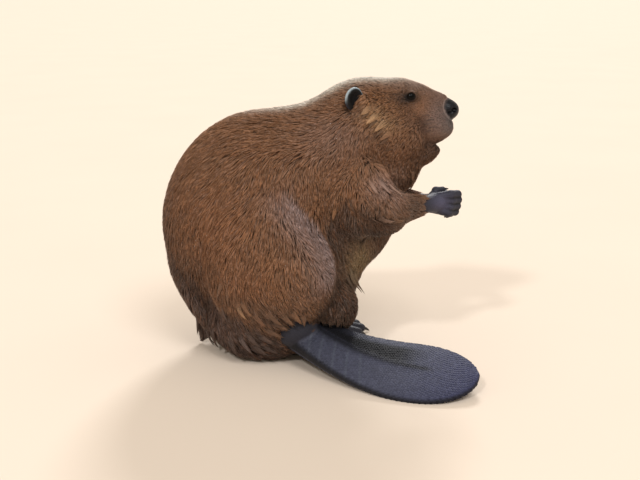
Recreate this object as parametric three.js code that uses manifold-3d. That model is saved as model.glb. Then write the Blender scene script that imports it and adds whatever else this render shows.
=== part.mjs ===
// A beaver sitting up on its haunches, with its forepaws raised and its tail laid forward.
// Millimetres, +Z up. It faces +X, its right side is -Y, and it rests on the plane z = 0.
// The outer surfaces are the tips of the coat. The body is divided by thin cuts.
import * as THREE from 'three';
import { mergeVertices } from 'three/addons/utils/BufferGeometryUtils.js';
import { ParametricGeometry } from 'three/addons/geometries/ParametricGeometry.js';
import Module from 'manifold-3d';

const wasm = await Module();
wasm.setup();

// ---- Driving dimensions ----
const cut = 0.3; // gap left between neighbouring pieces

// Flesh: an ellipsoid is [x, y, z, radii x, y, z, pitch], a limb is [x, y, z, r, x, y, z, r].
const size = {
  rump: [26, 0, 91, 83, 112, 106, 0],
  back: [2, 0, 203, 124, 108, 149, -23],
  withers: [84, 0, 233, 109, 90, 107, 0],
  belly: [89, 0, 132, 75, 94, 98, 0],
  breast: [140, 0, 192, 70, 70, 69, -35],
  bib: [206, 0, 258, 36, 34, 30, 0],
  haunch: [-75, -4, 76, 18, 60, 62, 29],
  hip: [14, -62, 44, 60, 34, 46, 0],
  tuft: [-50, 0, 64, 36, -74, 0, 8, 7],
  neck: [96, 0, 270, 68, 150, 0, 322, 66],
  skull: [176, 0, 342, 63, 49, 51, 0],
  brow: [225, 0, 359.5, 38, 20, 24.5, 0],
  snout: [214, 0, 352, 38, 265, 0, 346, 25.5],
  cheek: [198, -24, 316, 50, 30, 40, 0],
  lip: [263, -10, 324, 26, 18, 19.5, 0],
  earTuft: [160, -49, 365, 6, 7, 11, 0],
  chin: [248, 0, 290, 25, 21, 16, 20],
  jaw: [240, 0, 292, 24, 190, 0, 273, 50],
  shoulder: [152, -64, 236, 50, 36, 58, -20],
  elbow: [160, -76, 224, 34, 188, -78, 216, 31],
  forearm: [186, -76, 219, 28, 252, -40, 221, 13.5],
  palm: [267, -30, 221, 19, 10, 14, 0],
  thigh: [26, -82, 142, 84, 50, 112, 8],
  knee: [76, -92, 130, 46, 40, 58, 10],
  shank: [115, -58, 78, 42, 36, 44, 10],
  ankle: [100, -50, 50, 26, 66, -26, 26, 20],
  instep: [48, -20, 16, 17, 108, -34, 15, 16],
  web: [126, -44, 7, 40, 38, 7, 0],
  rootFur: [-20, -30, 50, 44, 14, -50, 48, 42],
  tailRoot: [14, -50, 48, 42, 70, -66, 43, 31],
};

const eye = { x: 225, y: -25, z: 368, radius: 8 };
const nosePad = { x: 280, z: 348, radii: [17.5, 16, 15.5] };
const ear = { x: 147, y: -49, z: 368, radii: [5.5, 14, 16], cup: [7, 10.5, 12.5], yaw: -58, lean: -12 };

// The left hand is held lower and nearer the middle, and its forearm runs down to it.
const leftHand = { drop: 13, inward: 8, from: 160, to: 240 };

// The paddle follows one curve: root, bend and tip, rolled so its right edge lies on the floor.
const paddle = {
  root: [70, -63, 43],
  bend: [187, -163, 7.5],
  tip: [311, -177, 21],
  roll: 15,
  halfWidth: 61,
  halfRoot: 33,
  edge: 3,
  dome: 8,
  rootHeight: 19,
};

// Cuts across the neck: a point on each and the angle of its normal above +X.
const throatCut = { x: 180, z: 322, tilt: 37 };
const collarCut = { x: 140, z: 293, tilt: 48 };
const jawCut = { x: 262, z: 305, tilt: 104 };

// Fingers [height, reach] curl in from the knuckles, toes [side, reach] fan out.
const fingers = [[11.5, 3], [4.2, 5], [-4.2, 2], [-12, -4]];
const toes = [[-12, 142], [-28, 158], [-46, 164], [-64, 157], [-80, 140]];
const clawLength = 11;

const colours = {
  coat: '#6e4b36',
  face: '#72543f',
  hide: '#44434b',
  horn: '#2c2623',
  nose: '#231f20',
  eye: '#120d0b',
};

// ---- Distance fields, negative inside ----
const blend = (a, b, k) => {
  const h = Math.max(k - Math.abs(a - b), 0) / k;
  return Math.min(a, b) - (h * h * k) / 4;
};

function ellipsoid([cx, cy, cz, rx, ry, rz, pitch]) {
  const c = Math.cos((pitch * Math.PI) / 180);
  const s = Math.sin((pitch * Math.PI) / 180);
  return (x, y, z) => {
    const px = (c * (x - cx) + s * (z - cz)) / rx;
    const py = (y - cy) / ry;
    const pz = (c * (z - cz) - s * (x - cx)) / rz;
    const near = Math.hypot(px, py, pz);
    return (near * (near - 1)) / Math.max(Math.hypot(px / rx, py / ry, pz / rz), 1e-9);
  };
}

function taper([ax, ay, az, ra, bx, by, bz, rb]) {
  const dx = bx - ax;
  const dy = by - ay;
  const dz = bz - az;
  const long = dx * dx + dy * dy + dz * dz;
  return (x, y, z) => {
    const along = ((x - ax) * dx + (y - ay) * dy + (z - az) * dz) / long;
    const t = Math.min(Math.max(along, 0), 1);
    return Math.hypot(x - ax - t * dx, y - ay - t * dy, z - az - t * dz) - (ra + (rb - ra) * t);
  };
}

// Joins [field, softness] pairs into one smooth field.
const joined = (list) => (x, y, z) =>
  list.reduce((total, [field, soft]) => blend(total, field(x, y, z), soft), 1e6);

const paired = (field) => (x, y, z) => field(x, -Math.abs(y), z);

const torso = joined([
  [ellipsoid(size.rump), 1],
  [ellipsoid(size.back), 36],
  [ellipsoid(size.withers), 36],
  [ellipsoid(size.belly), 36],
  [ellipsoid(size.breast), 30],
  [ellipsoid(size.bib), 26],
  [ellipsoid(size.haunch), 32],
  [paired(ellipsoid(size.hip)), 24],
  [taper(size.tuft), 14],
]);

const headShape = joined([
  [ellipsoid(size.skull), 1],
  [ellipsoid(size.brow), 14],
  [taper(size.snout), 14],
  [paired(ellipsoid(size.cheek)), 18],
  [paired(ellipsoid(size.lip)), 10],
  [paired(ellipsoid(size.earTuft)), 6],
  [ellipsoid(size.chin), 8],
  [taper(size.jaw), 14],
]);

const armShape = joined([
  [ellipsoid(size.shoulder), 1],
  [taper(size.elbow), 20],
  [taper(size.forearm), 14],
]);

// How much of the left hand's shift applies this far forward, from 0 to 1.
const handShift = (x) => THREE.MathUtils.smoothstep(x, leftHand.from, leftHand.to);

function leftArmShape(x, y, z) {
  const shift = handShift(x);
  return armShape(x, -y - leftHand.inward * shift, z + leftHand.drop * shift);
}

const legShape = joined([
  [ellipsoid(size.thigh), 1],
  [ellipsoid(size.knee), 30],
  [ellipsoid(size.shank), 14],
  [taper(size.ankle), 12],
]);

const rootShape = joined([
  [taper(size.rootFur), 1],
  [taper(size.tailRoot), 10],
]);

const flesh = joined([
  [torso, 1],
  [taper(size.neck), 46],
  [headShape, 14],
  [armShape, 20],
  [leftArmShape, 20],
  [paired(legShape), 22],
  [rootShape, 16],
]);

// The same without the forearms, for the pieces behind them.
const core = joined([
  [torso, 1],
  [taper(size.neck), 46],
  [headShape, 14],
  [paired(ellipsoid(size.shoulder)), 20],
  [paired(legShape), 22],
  [rootShape, 16],
]);

const footShape = joined([
  [taper(size.instep), 1],
  [ellipsoid(size.web), 10],
]);

// ---- Solids ----
// Turns a closed geometry into a solid: shared corners merged, collapsed triangles dropped.
function solid(geometry) {
  const bare = geometry.clone();
  bare.deleteAttribute('normal');
  bare.deleteAttribute('uv');
  const merged = mergeVertices(bare, 1e-3);
  const index = merged.index.array;
  const kept = [];
  for (let i = 0; i < index.length; i += 3) {
    const [a, b, c] = [index[i], index[i + 1], index[i + 2]];
    if (a !== b && b !== c && c !== a) kept.push(a, b, c);
  }
  return new wasm.Manifold(new wasm.Mesh({
    numProp: 3,
    vertProperties: new Float32Array(merged.attributes.position.array),
    triVerts: new Uint32Array(kept),
  }));
}

// A surface seen whole from its centre: each ray stops where it first leaves the field.
function star(centre, field, reach, detail) {
  const geometry = new THREE.IcosahedronGeometry(1, detail);
  const position = geometry.attributes.position;
  const direction = new THREE.Vector3();
  for (let i = 0; i < position.count; i++) {
    direction.fromBufferAttribute(position, i).normalize();
    const at = (r) => field(
      centre[0] + r * direction.x,
      centre[1] + r * direction.y,
      centre[2] + r * direction.z,
    );
    let outer = 1;
    while (outer < reach && at(outer) < 0) outer += 2;
    let inner = Math.max(outer - 2, 0);
    outer = Math.min(outer, reach);
    for (let step = 0; step < 14; step++) {
      const middle = (inner + outer) / 2;
      if (at(middle) < 0) inner = middle;
      else outer = middle;
    }
    position.setXYZ(
      i,
      centre[0] + inner * direction.x,
      centre[1] + inner * direction.y,
      centre[2] + inner * direction.z,
    );
  }
  return solid(geometry);
}

// An ellipsoid solid, larger by grow all round.
function bulb([x, y, z, rx, ry, rz, pitch], grow, detail = 1) {
  const geometry = new THREE.IcosahedronGeometry(1, detail);
  geometry.scale(rx + grow, ry + grow, rz + grow);
  geometry.rotateY((-pitch * Math.PI) / 180);
  geometry.translate(x, y, z);
  return solid(geometry);
}

// A round tube along points, its radii running to nothing at both ends.
function finger(points, radii, sides, rings) {
  const path = new THREE.CatmullRomCurve3(points.map((p) => new THREE.Vector3(...p)));
  const last = radii.length - 1;
  const span = path.getLength();
  const geometry = new ParametricGeometry((u, v, target) => {
    const end = radii[0] / span;
    const near = Math.min(v, 1 - v) < 0.5 / rings ? 0 : 1;
    const t = near ? end / 2 + (1 - end) * ((v - 1 / rings) / (1 - 2 / rings)) : Math.round(v);
    const middle = path.getPoint(Math.min(Math.max(t, 0), 1));
    const along = path.getTangent(Math.min(Math.max(t, 0), 1));
    const side = new THREE.Vector3(-along.y, along.x, 0).normalize();
    const up = new THREE.Vector3().crossVectors(along, side);
    const place = Math.min(Math.max(t, 0), 1) * last;
    const low = Math.min(Math.floor(place), last - 1);
    const radius = near * (radii[low] + (radii[low + 1] - radii[low]) * (place - low));
    const turn = u * 2 * Math.PI;
    target.copy(middle);
    target.addScaledVector(along, near ? 0 : (Math.round(v) * 2 - 1) * radii[Math.round(v) * last] * 0.6);
    target.addScaledVector(side, radius * Math.cos(turn));
    target.addScaledVector(up, radius * Math.sin(turn));
  }, sides, rings);
  return solid(geometry);
}

// A block with one face through a point, on the side that the normal points to.
function halfSpace(x, y, z, tilt, heading, shift) {
  const reach = 700;
  const geometry = new THREE.BoxGeometry(reach, reach, reach);
  geometry.translate(reach / 2 + shift, 0, 0);
  geometry.rotateY((-tilt * Math.PI) / 180);
  geometry.rotateZ((heading * Math.PI) / 180);
  geometry.translate(x, y, z);
  return solid(geometry);
}

const acrossNeck = ({ x, z, tilt }, shift) => halfSpace(x, 0, z, tilt, 0, shift);
const floorBlock = halfSpace(0, 0, 0, -90, 0, 0);

// The right side's ear, from its root inside the head to its rim.
function earShell(grow) {
  const blank = (radii, shift, extra, detail) => {
    const geometry = new THREE.IcosahedronGeometry(1, detail);
    geometry.scale(radii[0] + extra, radii[1] + extra, radii[2] + extra);
    geometry.translate(shift, 0, 1);
    geometry.rotateX((ear.lean * Math.PI) / 180);
    geometry.rotateZ((ear.yaw * Math.PI) / 180);
    geometry.translate(ear.x, ear.y, ear.z);
    return solid(geometry);
  };
  const shell = blank(ear.radii, 0, grow, 2);
  return grow > 0 ? shell : shell.subtract(blank(ear.cup, 8, 0, 1));
}

// One foot claw or hand claw: a curved cone with its base sunk by a gap into the digit.
function claw(base, heading, drop, width, length, grow) {
  const forward = [Math.cos(heading), Math.sin(heading)];
  const at = (s, fall) => [base[0] + forward[0] * s, base[1] + forward[1] * s, base[2] - fall];
  const points = [at(-length * 0.3, 0), at(length * 0.35, drop * 0.25), at(length, drop)];
  const radii = [width * 0.75 + grow, width + grow, 0.9 + grow];
  return finger(points, radii, 4, 4);
}

// ---- The hand ----
const [palmX, palmY, palmZ] = size.palm;

function handParts() {
  const digits = fingers.map(([height, reach]) => ({
    points: [
      [palmX + 2, palmY - 2, palmZ + height * 0.7],
      [palmX + 18 + reach * 0.4, palmY - 4, palmZ + height],
      [palmX + 27 + reach * 0.4, palmY + 5, palmZ + height - 1],
      [palmX + 20 + reach * 0.3, palmY + 13, palmZ + height - 2],
    ],
    radii: [5.4, 5.2, 4.8, 3.8],
  }));
  digits.push({
    points: [
      [palmX - 8, palmY + 3, palmZ + 8],
      [palmX - 2, palmY + 11, palmZ + 16],
      [palmX + 8, palmY + 16, palmZ + 17],
    ],
    radii: [5.2, 4.8, 3.8],
  });
  return digits.map(({ points, radii }) => {
    const tip = points[points.length - 1];
    const before = points[points.length - 2];
    const heading = Math.atan2(tip[1] - before[1], tip[0] - before[0]);
    const nail = (grow) => claw(
      [tip[0] + 2.5 * Math.cos(heading), tip[1] + 2.5 * Math.sin(heading), tip[2]],
      heading, 3, 2, clawLength * 0.6, grow,
    );
    return { flesh: finger(points, radii, 5, 3), nail };
  });
}

// ---- The foot ----
function footParts() {
  return toes.map(([side, reach]) => {
    const root = [104, -34 + (side + 46) * 0.5, 12];
    const tip = [reach, side, 6.5];
    const heading = Math.atan2(tip[1] - root[1], tip[0] - root[0]);
    const middle = root.map((value, axis) => value * 0.45 + tip[axis] * 0.55 + (axis === 2 ? 2 : 0));
    const nail = (grow) => claw(
      [tip[0] + 4 * Math.cos(heading), tip[1] + 4 * Math.sin(heading), tip[2] + 1],
      heading, 4, 2.8, clawLength, grow,
    );
    return { flesh: finger([root, middle, tip], [10, 9.5, 7.5], 5, 3), nail };
  });
}

// ---- The tail ----
// Half width along the paddle: a round-ended leaf added to a root that narrows.
const leaf = (t) => paddle.halfWidth * Math.sqrt(Math.max(Math.sin(Math.PI * t * t), 0));
const paddleHalf = (t) => leaf(t) + paddle.halfRoot * (1 - t) ** 2;
const paddleHeight = (t) => paddle.edge + paddle.dome * (1 - t) + paddle.rootHeight * (1 - t) ** 4;

function paddleBlade(grow) {
  const spine = new THREE.QuadraticBezierCurve3(
    new THREE.Vector3(...paddle.root),
    new THREE.Vector3(...paddle.bend),
    new THREE.Vector3(...paddle.tip),
  );
  const roll = (paddle.roll * Math.PI) / 180;
  const geometry = new ParametricGeometry((u, v, target) => {
    const t = 1 - (1 - v) ** 1.5;
    const along = spine.getTangent(t);
    const side = new THREE.Vector3(-along.y, along.x, 0).normalize();
    const up = new THREE.Vector3().crossVectors(along, side);
    const across = side.clone().multiplyScalar(Math.cos(roll)).addScaledVector(up, Math.sin(roll));
    const above = up.clone().multiplyScalar(Math.cos(roll)).addScaledVector(side, -Math.sin(roll));
    const turn = u * 2 * Math.PI;
    const lift = Math.sin(turn);
    const closed = v === 0 ? 0 : 1;
    const half = (paddleHalf(t) + grow) * Math.sign(Math.cos(turn)) * Math.abs(Math.cos(turn)) ** 0.8;
    const height = (paddleHeight(t) + grow) * lift * (lift > 0 ? 1.15 : 0.75);
    target.copy(spine.getPoint(t));
    target.addScaledVector(across, closed * (t === 1 ? 0 : half));
    target.addScaledVector(above, closed * (t === 1 ? 0 : height));
  }, 14, 16);
  return solid(geometry);
}

// ---- Assembly ----
const beaver = new THREE.Group();
beaver.name = 'beaver';

// The largest piece of a cut solid, without the thin slivers that a cut may leave.
function largest(body) {
  const pieces = body.decompose();
  return pieces.reduce((best, piece) => (piece.volume() > best.volume() ? piece : best));
}

function add(name, body, colour, roughness) {
  // Stored as 32-bit numbers, a thin neck can part, so the largest piece is taken again.
  const stored = new wasm.Manifold(largest(body).getMesh());
  const mesh = largest(stored).getMesh();
  const geometry = new THREE.BufferGeometry();
  geometry.setAttribute('position', new THREE.BufferAttribute(mesh.vertProperties, 3));
  geometry.setIndex(new THREE.BufferAttribute(mesh.triVerts, 1));
  geometry.computeVertexNormals();
  const node = new THREE.Mesh(
    geometry,
    new THREE.MeshStandardMaterial({ color: colour, roughness, metalness: 0 }),
  );
  node.name = name;
  beaver.add(node);
}

// The same solid on the other side of the middle plane, its faces still pointing out.
// With handShift it also follows the left arm down and inward.
function mirrored(body, shift = () => 0) {
  const mesh = body.getMesh();
  const flipped = mesh.vertProperties.slice();
  for (let i = 0; i < flipped.length; i += 3) {
    const amount = shift(flipped[i]);
    flipped[i + 1] = -flipped[i + 1] - leftHand.inward * amount;
    flipped[i + 2] -= leftHand.drop * amount;
  }
  const turned = mesh.triVerts.map((value, i, all) => all[i % 3 === 1 ? i + 1 : i % 3 === 2 ? i - 1 : i]);
  return new wasm.Manifold(new wasm.Mesh({ numProp: 3, vertProperties: flipped, triVerts: turned }));
}

const both = (body) => body.add(mirrored(body));

function addPair(name, body, colour, roughness, shift) {
  add(`${name}_right`, body, colour, roughness);
  add(`${name}_left`, mirrored(body, shift), colour, roughness);
}

// Cutting shapes for the limbs on the right side.
const shoulderShape = (grow) => bulb(size.shoulder, 9 + grow);
const forearmShape = (grow) => star([205, -66, 218], (x, y, z) => armShape(x, y, z) - grow, 70, 2);
const thighShape = (grow) => bulb([50, -92, 136, 88, 54, 108, 8], grow);
const shankShape = (grow) => bulb([112, -54, 62, 52, 46, 60, 10], grow);
const soleShape = (grow) => star([78, -27, 15], (x, y, z) => footShape(x, y, z) - grow, 90, 1);
const rootCutShape = (grow) => star([0, -40, 50], (x, y, z) => rootShape(x, y, z) - 12 - grow, 130, 1);
const wristBlock = (shift) => halfSpace(252, -40, 221, 0, 30, shift);
const paddleBlock = (shift) => halfSpace(...paddle.root, 0, -38, shift + 6);

const tailSpace = rootCutShape(cut).add(paddleBlade(cut));
const digits = handParts();
const footDigits = footParts();

function buildHead() {
  const eyeBall = (grow) => bulb([eye.x, eye.y, eye.z, eye.radius, eye.radius, eye.radius, 0], grow);
  const pad = (grow) => bulb([nosePad.x, 0, nosePad.z, ...nosePad.radii, 0], grow);
  const mask = acrossNeck(throatCut, cut / 2).intersect(acrossNeck(jawCut, cut / 2));
  const whole = star([195, 0, 335], core, 140, 5);
  const upper = whole.intersect(mask);
  const holes = both(eyeBall(cut)).add(both(earShell(cut))).add(pad(cut));
  const shoulders = both(shoulderShape(cut));
  add('head', upper.subtract(holes).subtract(shoulders), colours.face, 0.9);
  const lower = star([210, 0, 288], core, 110, 3).subtract(acrossNeck(jawCut, -cut / 2));
  const jaw = lower.intersect(acrossNeck(throatCut, cut / 2)).subtract(shoulders);
  add('lower_jaw', jaw, colours.face, 0.9);
  add('nose', pad(0), colours.nose, 0.45);
  addPair('eye', eyeBall(0), colours.eye, 0.1);
  addPair('ear', earShell(0), colours.hide, 0.8);
}

function buildTrunk() {
  const legs = both(thighShape(cut).add(shankShape(cut)).add(soleShape(cut)));
  const shoulders = both(shoulderShape(cut));
  const forearm = forearmShape(cut);
  const forearms = forearm.add(mirrored(forearm, handShift));
  const neck = star([160, 0, 307], core, 130, 3)
    .subtract(acrossNeck(throatCut, -cut / 2))
    .intersect(acrossNeck(collarCut, cut / 2))
    .subtract(shoulders)
    .subtract(forearms)
    .subtract(both(earShell(cut)));
  add('neck', neck, colours.coat, 0.95);
  const trunk = star([30, 0, 165], core, 210, 5)
    .subtract(acrossNeck(collarCut, -cut / 2))
    .subtract(shoulders)
    .subtract(forearms)
    .subtract(legs)
    .subtract(tailSpace)
    .subtract(floorBlock);
  add('trunk', trunk, colours.coat, 0.95);
}

function buildArms() {
  const [shoulderX, shoulderY, shoulderZ] = size.shoulder;
  const shoulder = shoulderShape(0);
  const upperArm = (side) => star([shoulderX, side * shoulderY, shoulderZ], flesh, 90, 2);
  add('upper_arm_right', upperArm(1).intersect(shoulder), colours.coat, 0.95);
  add('upper_arm_left', upperArm(-1).intersect(mirrored(shoulder)), colours.coat, 0.95);
  const forearm = forearmShape(0).subtract(wristBlock(-cut / 2));
  const socket = shoulderShape(cut);
  add('forearm_right', forearm.subtract(socket), colours.coat, 0.95);
  add('forearm_left', mirrored(forearm, handShift).subtract(mirrored(socket)), colours.coat, 0.95);
  let hand = star(size.palm, ellipsoid(size.palm), 40, 1).add(finger(
    [[244, -44, 221], [258, -36, 221], [272, -31, 221]], [12, 12, 11], 7, 5,
  )).intersect(wristBlock(cut / 2));
  digits.forEach((digit) => { hand = hand.add(digit.flesh.intersect(wristBlock(cut / 2))); });
  digits.forEach((digit) => { hand = hand.subtract(digit.nail(cut)); });
  addPair('hand', hand, colours.hide, 0.75, handShift);
}

function buildLegs() {
  const thigh = star([40, -84, 140], flesh, 150, 3).intersect(thighShape(0))
    .subtract(shoulderShape(cut));
  const shank = star([112, -56, 66], flesh, 90, 2).intersect(shankShape(0))
    .subtract(thighShape(cut)).subtract(floorBlock);
  let foot = soleShape(0);
  footDigits.forEach((toe) => { foot = foot.add(toe.flesh); });
  footDigits.forEach((toe) => { foot = foot.subtract(toe.nail(cut)); });
  foot = foot.subtract(floorBlock).subtract(shankShape(cut)).subtract(thighShape(cut));
  return { thigh, shank, foot };
}

const { thigh, shank, foot } = buildLegs();
buildHead();
buildTrunk();
buildArms();

add('thigh_right', thigh.subtract(tailSpace), colours.coat, 0.95);
add('thigh_left', mirrored(thigh), colours.coat, 0.95);
add('shank_right', shank.subtract(tailSpace), colours.coat, 0.95);
add('shank_left', mirrored(shank), colours.coat, 0.95);
add('foot_right', foot.subtract(tailSpace), colours.hide, 0.8);
add('foot_left', mirrored(foot), colours.hide, 0.8);

const tailBase = star([0, -40, 50], flesh, 130, 3).intersect(rootCutShape(0))
  .subtract(paddleBlock(-cut / 2)).subtract(floorBlock);
add('tail_base', tailBase, colours.coat, 0.95);
const tail = paddleBlade(0).intersect(paddleBlock(cut / 2)).subtract(floorBlock);
add('tail', tail, colours.hide, 0.7);

digits.forEach((digit, i) => {
  addPair(`hand_claw_${i + 1}`, digit.nail(0), colours.horn, 0.5, handShift);
});
footDigits.forEach((toe, i) => {
  addPair(`foot_claw_${i + 1}`, toe.nail(0).subtract(floorBlock), colours.horn, 0.5);
});

export default beaver;
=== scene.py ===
import math
import time

import bmesh
import bpy
import numpy as np
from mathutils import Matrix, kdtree


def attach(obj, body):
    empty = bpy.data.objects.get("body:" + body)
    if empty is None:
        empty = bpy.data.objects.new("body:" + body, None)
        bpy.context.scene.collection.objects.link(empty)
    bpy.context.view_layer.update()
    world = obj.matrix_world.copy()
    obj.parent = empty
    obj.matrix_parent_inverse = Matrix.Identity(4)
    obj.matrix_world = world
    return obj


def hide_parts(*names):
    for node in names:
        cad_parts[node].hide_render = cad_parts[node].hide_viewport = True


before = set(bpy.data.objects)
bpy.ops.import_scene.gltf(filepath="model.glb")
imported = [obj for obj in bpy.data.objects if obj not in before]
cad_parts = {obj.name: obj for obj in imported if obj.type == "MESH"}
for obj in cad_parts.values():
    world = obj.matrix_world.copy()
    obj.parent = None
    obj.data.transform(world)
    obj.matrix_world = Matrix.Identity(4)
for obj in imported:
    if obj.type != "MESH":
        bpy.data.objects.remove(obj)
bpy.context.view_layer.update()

startTime = time.time()
metre = 0.001  # shapes are worked out in millimetres
rng = np.random.default_rng(11)


def report(words):
    print(f"[beaver] {words} ({time.time() - startTime:.0f} s)")


# The body's form: distance fields in millimetres, negative inside
# ball: x, y, z, radii x, y, z, pitch in degrees. limb: x, y, z, radius at each end.
# Each entry ends with the coat's depth over it and how softly it joins what comes before.
form = {
    "torso": {
        "soft": 1,
        "paired": False,
        "parts": [
            ("ball", (26, 0, 91, 83, 112, 106, 0), 11, 1),  # rump
            ("ball", (2, 0, 203, 124, 108, 149, -23), 11, 36),  # back
            ("ball", (84, 0, 233, 109, 90, 107, 0), 11, 36),  # withers
            ("ball", (89, 0, 132, 75, 94, 98, 0), 11, 36),  # belly
            ("ball", (140, 0, 192, 70, 70, 69, -35), 10, 30),  # breast
            ("ball", (206, 0, 258, 36, 34, 30, 0), 10, 26),  # bib
            ("ball", (-75, -4, 76, 18, 60, 62, 29), 11, 32),  # haunch
            ("limb", (-50, 0, 64, 36, -74, 0, 8, 7), 8, 14),  # tuft over the tail
        ],
    },
    "hips": {"soft": 24, "paired": True, "parts": [("ball", (14, -62, 44, 60, 34, 46, 0), 9, 1)]},
    "neck": {"soft": 46, "paired": False, "parts": [("limb", (96, 0, 270, 68, 150, 0, 322, 66), 9, 1)]},
    "head": {
        "soft": 14,
        "paired": False,
        "parts": [
            ("ball", (176, 0, 342, 63, 49, 51, 0), 5, 1),  # skull
            ("ball", (225, 0, 359.5, 38, 20, 24.5, 0), 3.5, 14),  # brow
            ("limb", (214, 0, 352, 38, 256, 0, 346, 25.5), 2.6, 14),  # snout
            ("ball", (262, 0, 352, 26, 13, 18.5, 0), 1.6, 8),  # bridge
            ("ball", (248, 0, 290, 25, 21, 16, 20), 2.5, 8),  # chin
            ("limb", (240, 0, 292, 24, 190, 0, 273, 50), 5, 14),  # jaw
        ],
    },
    "cheeks": {
        "soft": 16,
        "paired": True,
        "parts": [
            ("ball", (198, -24, 316, 50, 30, 40, 0), 7, 1),  # cheek
            ("ball", (262, -10, 324, 26, 18, 19, 0), 1.6, 10),  # lip
            ("ball", (160, -49, 365, 6, 7, 11, 0), 3, 6),  # tuft before the ear
        ],
    },
    "arms": {
        "soft": 12,
        "paired": True,
        "parts": [
            ("ball", (152, -64, 236, 50, 36, 58, -20), 9, 1),  # shoulder
            ("limb", (160, -76, 224, 34, 188, -78, 216, 31), 8, 20),  # elbow
            ("limb", (186, -76, 219, 28, 252, -40, 221, 13.5), 3.5, 14),  # forearm
        ],
    },
    "legs": {
        "soft": 11,
        "paired": True,
        "parts": [
            ("ball", (26, -82, 142, 84, 50, 112, 8), 11, 1),  # thigh
            ("ball", (76, -92, 130, 46, 40, 58, 10), 10, 30),  # knee
            ("ball", (115, -58, 78, 42, 36, 44, 10), 9, 14),  # shank
            ("limb", (100, -50, 50, 26, 66, -26, 26, 20), 4, 12),  # ankle
        ],
    },
    "tailRoot": {
        "soft": 16,
        "paired": False,
        "parts": [
            ("limb", (-20, -30, 50, 44, 14, -50, 48, 42), 9, 1),
            ("limb", (14, -50, 48, 42, 70, -66, 43, 31), 4, 10),
        ],
    },
}


def softMin(a, b, k):
    h = np.maximum(k - np.abs(a - b), 0) / k  # the nearer of two fields, rounded over k
    return np.minimum(a, b) - h * h * k / 4


def softMax(a, b, k):
    # the farther of two fields, rounded over k
    return -softMin(-a, -b, k)


def turned(pitch=0, yaw=0, roll=0):
    # the axes of something turned about x by roll, then y by pitch, then z by yaw, in degrees
    p, y, r = np.radians([pitch, yaw, roll])
    aboutX = np.array([[1, 0, 0], [0, np.cos(r), -np.sin(r)], [0, np.sin(r), np.cos(r)]])
    aboutY = np.array([[np.cos(p), 0, -np.sin(p)], [0, 1, 0], [np.sin(p), 0, np.cos(p)]])
    aboutZ = np.array([[np.cos(y), -np.sin(y), 0], [np.sin(y), np.cos(y), 0], [0, 0, 1]])
    return aboutZ @ aboutY @ aboutX


def smooth(low, high, x):
    # climbs from 0 at low to 1 at high, with level ends; low may be the larger
    t = np.clip((x - low) / (high - low), 0, 1)
    return t * t * (3 - 2 * t)


def unit(v):
    # a vector, or each row of an array, brought to length one
    size = np.linalg.norm(v) if v.ndim == 1 else np.linalg.norm(v, axis=1, keepdims=True)
    return v / np.maximum(size, 1e-9)


def ballField(p, size, axes=None):
    q = p - np.array(size[:3], float)  # an ellipsoid's distance: k0 (k0 - 1) / k1
    if axes is None and len(size) > 6 and size[6]:
        axes = turned(pitch=size[6])
    if axes is not None:
        q = q @ axes
    q = q / np.array(size[3:6], float)
    k0 = np.sqrt((q**2).sum(-1))
    k1 = np.sqrt(((q / np.array(size[3:6], float)) ** 2).sum(-1))
    return k0 * (k0 - 1) / np.maximum(k1, 1e-9)


def limbField(p, size):
    a, ra, b, rb = np.array(size[:3], float), size[3], np.array(size[4:7], float), size[7]
    d = b - a  # distance to the nearest point of a line, less a radius that tapers along it
    t = np.clip((p - a) @ d / (d @ d), 0, 1)
    return np.sqrt(((p - a - t[:, None] * d) ** 2).sum(-1)) - (ra + (rb - ra) * t)


fieldOf = {"ball": ballField, "limb": limbField}


def folded(p):
    # brings the left side onto the right
    return np.stack([p[:, 0], -np.abs(p[:, 1]), p[:, 2]], -1)


leftHand = {"drop": 13, "inward": 8, "from": 160, "to": 240}  # the left hand is lower and nearer the middle


def foldedArm(p):
    # folds the left arm onto the right, once it is brought level with it
    shift = smooth(leftHand["from"], leftHand["to"], p[:, 0]) * (p[:, 1] > 0)
    side = -np.abs(p[:, 1]) - leftHand["inward"] * shift
    return np.stack([p[:, 0], side, p[:, 2] + leftHand["drop"] * shift], -1)


# Creases that the coat follows: x, y, z and radius along each, on both sides.
folds = {
    "thigh": [(64, -106, 244, 9), (83, -108, 217, 12), (99, -106, 199, 13), (111, -109, 181, 14),
              (122, -115, 156, 14), (124, -121, 134, 12), (117, -124, 108, 8)],
    "elbow": [(136, -104, 240, 7), (144, -110, 220, 9), (160, -109, 204, 10), (179, -108, 196, 10),
              (200, -102, 190, 8)],
    "flank": [(138, -105, 236, 6), (125, -100, 221, 8), (114, -95, 204, 9), (110, -96, 188, 7)],
}
foldsLow, foldsHigh = (40, -140, 80), (225, -75, 265)  # the box that they are worked out in
gape = {  # the gap between the lips, and where it is worked out
    "ball": (282, 0, 300, 20, 36, 3.4), "ahead": 245, "above": 285, "below": 318,
}


def creased(p, total, deep):
    # cuts the creases and the lips' gap into the form, only near them
    def cut(q, deepHere):
        field = np.full(len(q), -1e3)
        for path in folds.values():
            field = np.maximum(field, 10 * deepHere - chainField(q, path, 6))
        return field

    inside = ((p > foldsLow) & (p < foldsHigh)).all(1)
    deepAll = np.broadcast_to(np.asarray(deep, float), (len(p),))
    if inside.any():
        total[inside] = softMax(total[inside], cut(p[inside], deepAll[inside]), 9)
    inside = (p[:, 0] > gape["ahead"]) & (p[:, 2] > gape["above"]) & (p[:, 2] < gape["below"])
    if inside.any():
        total[inside] = softMax(total[inside], 1.5 * deepAll[inside] - ballField(p[inside], gape["ball"]), 3)
    return total


def chainField(p, path, soft):
    total = None  # a crease, finger or toe: tapered lengths joined at the knuckles
    for a, b in zip(path, path[1:]):
        part = limbField(p, (*a, *b))
        total = part if total is None else softMin(total, part, soft)
    return total


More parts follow.
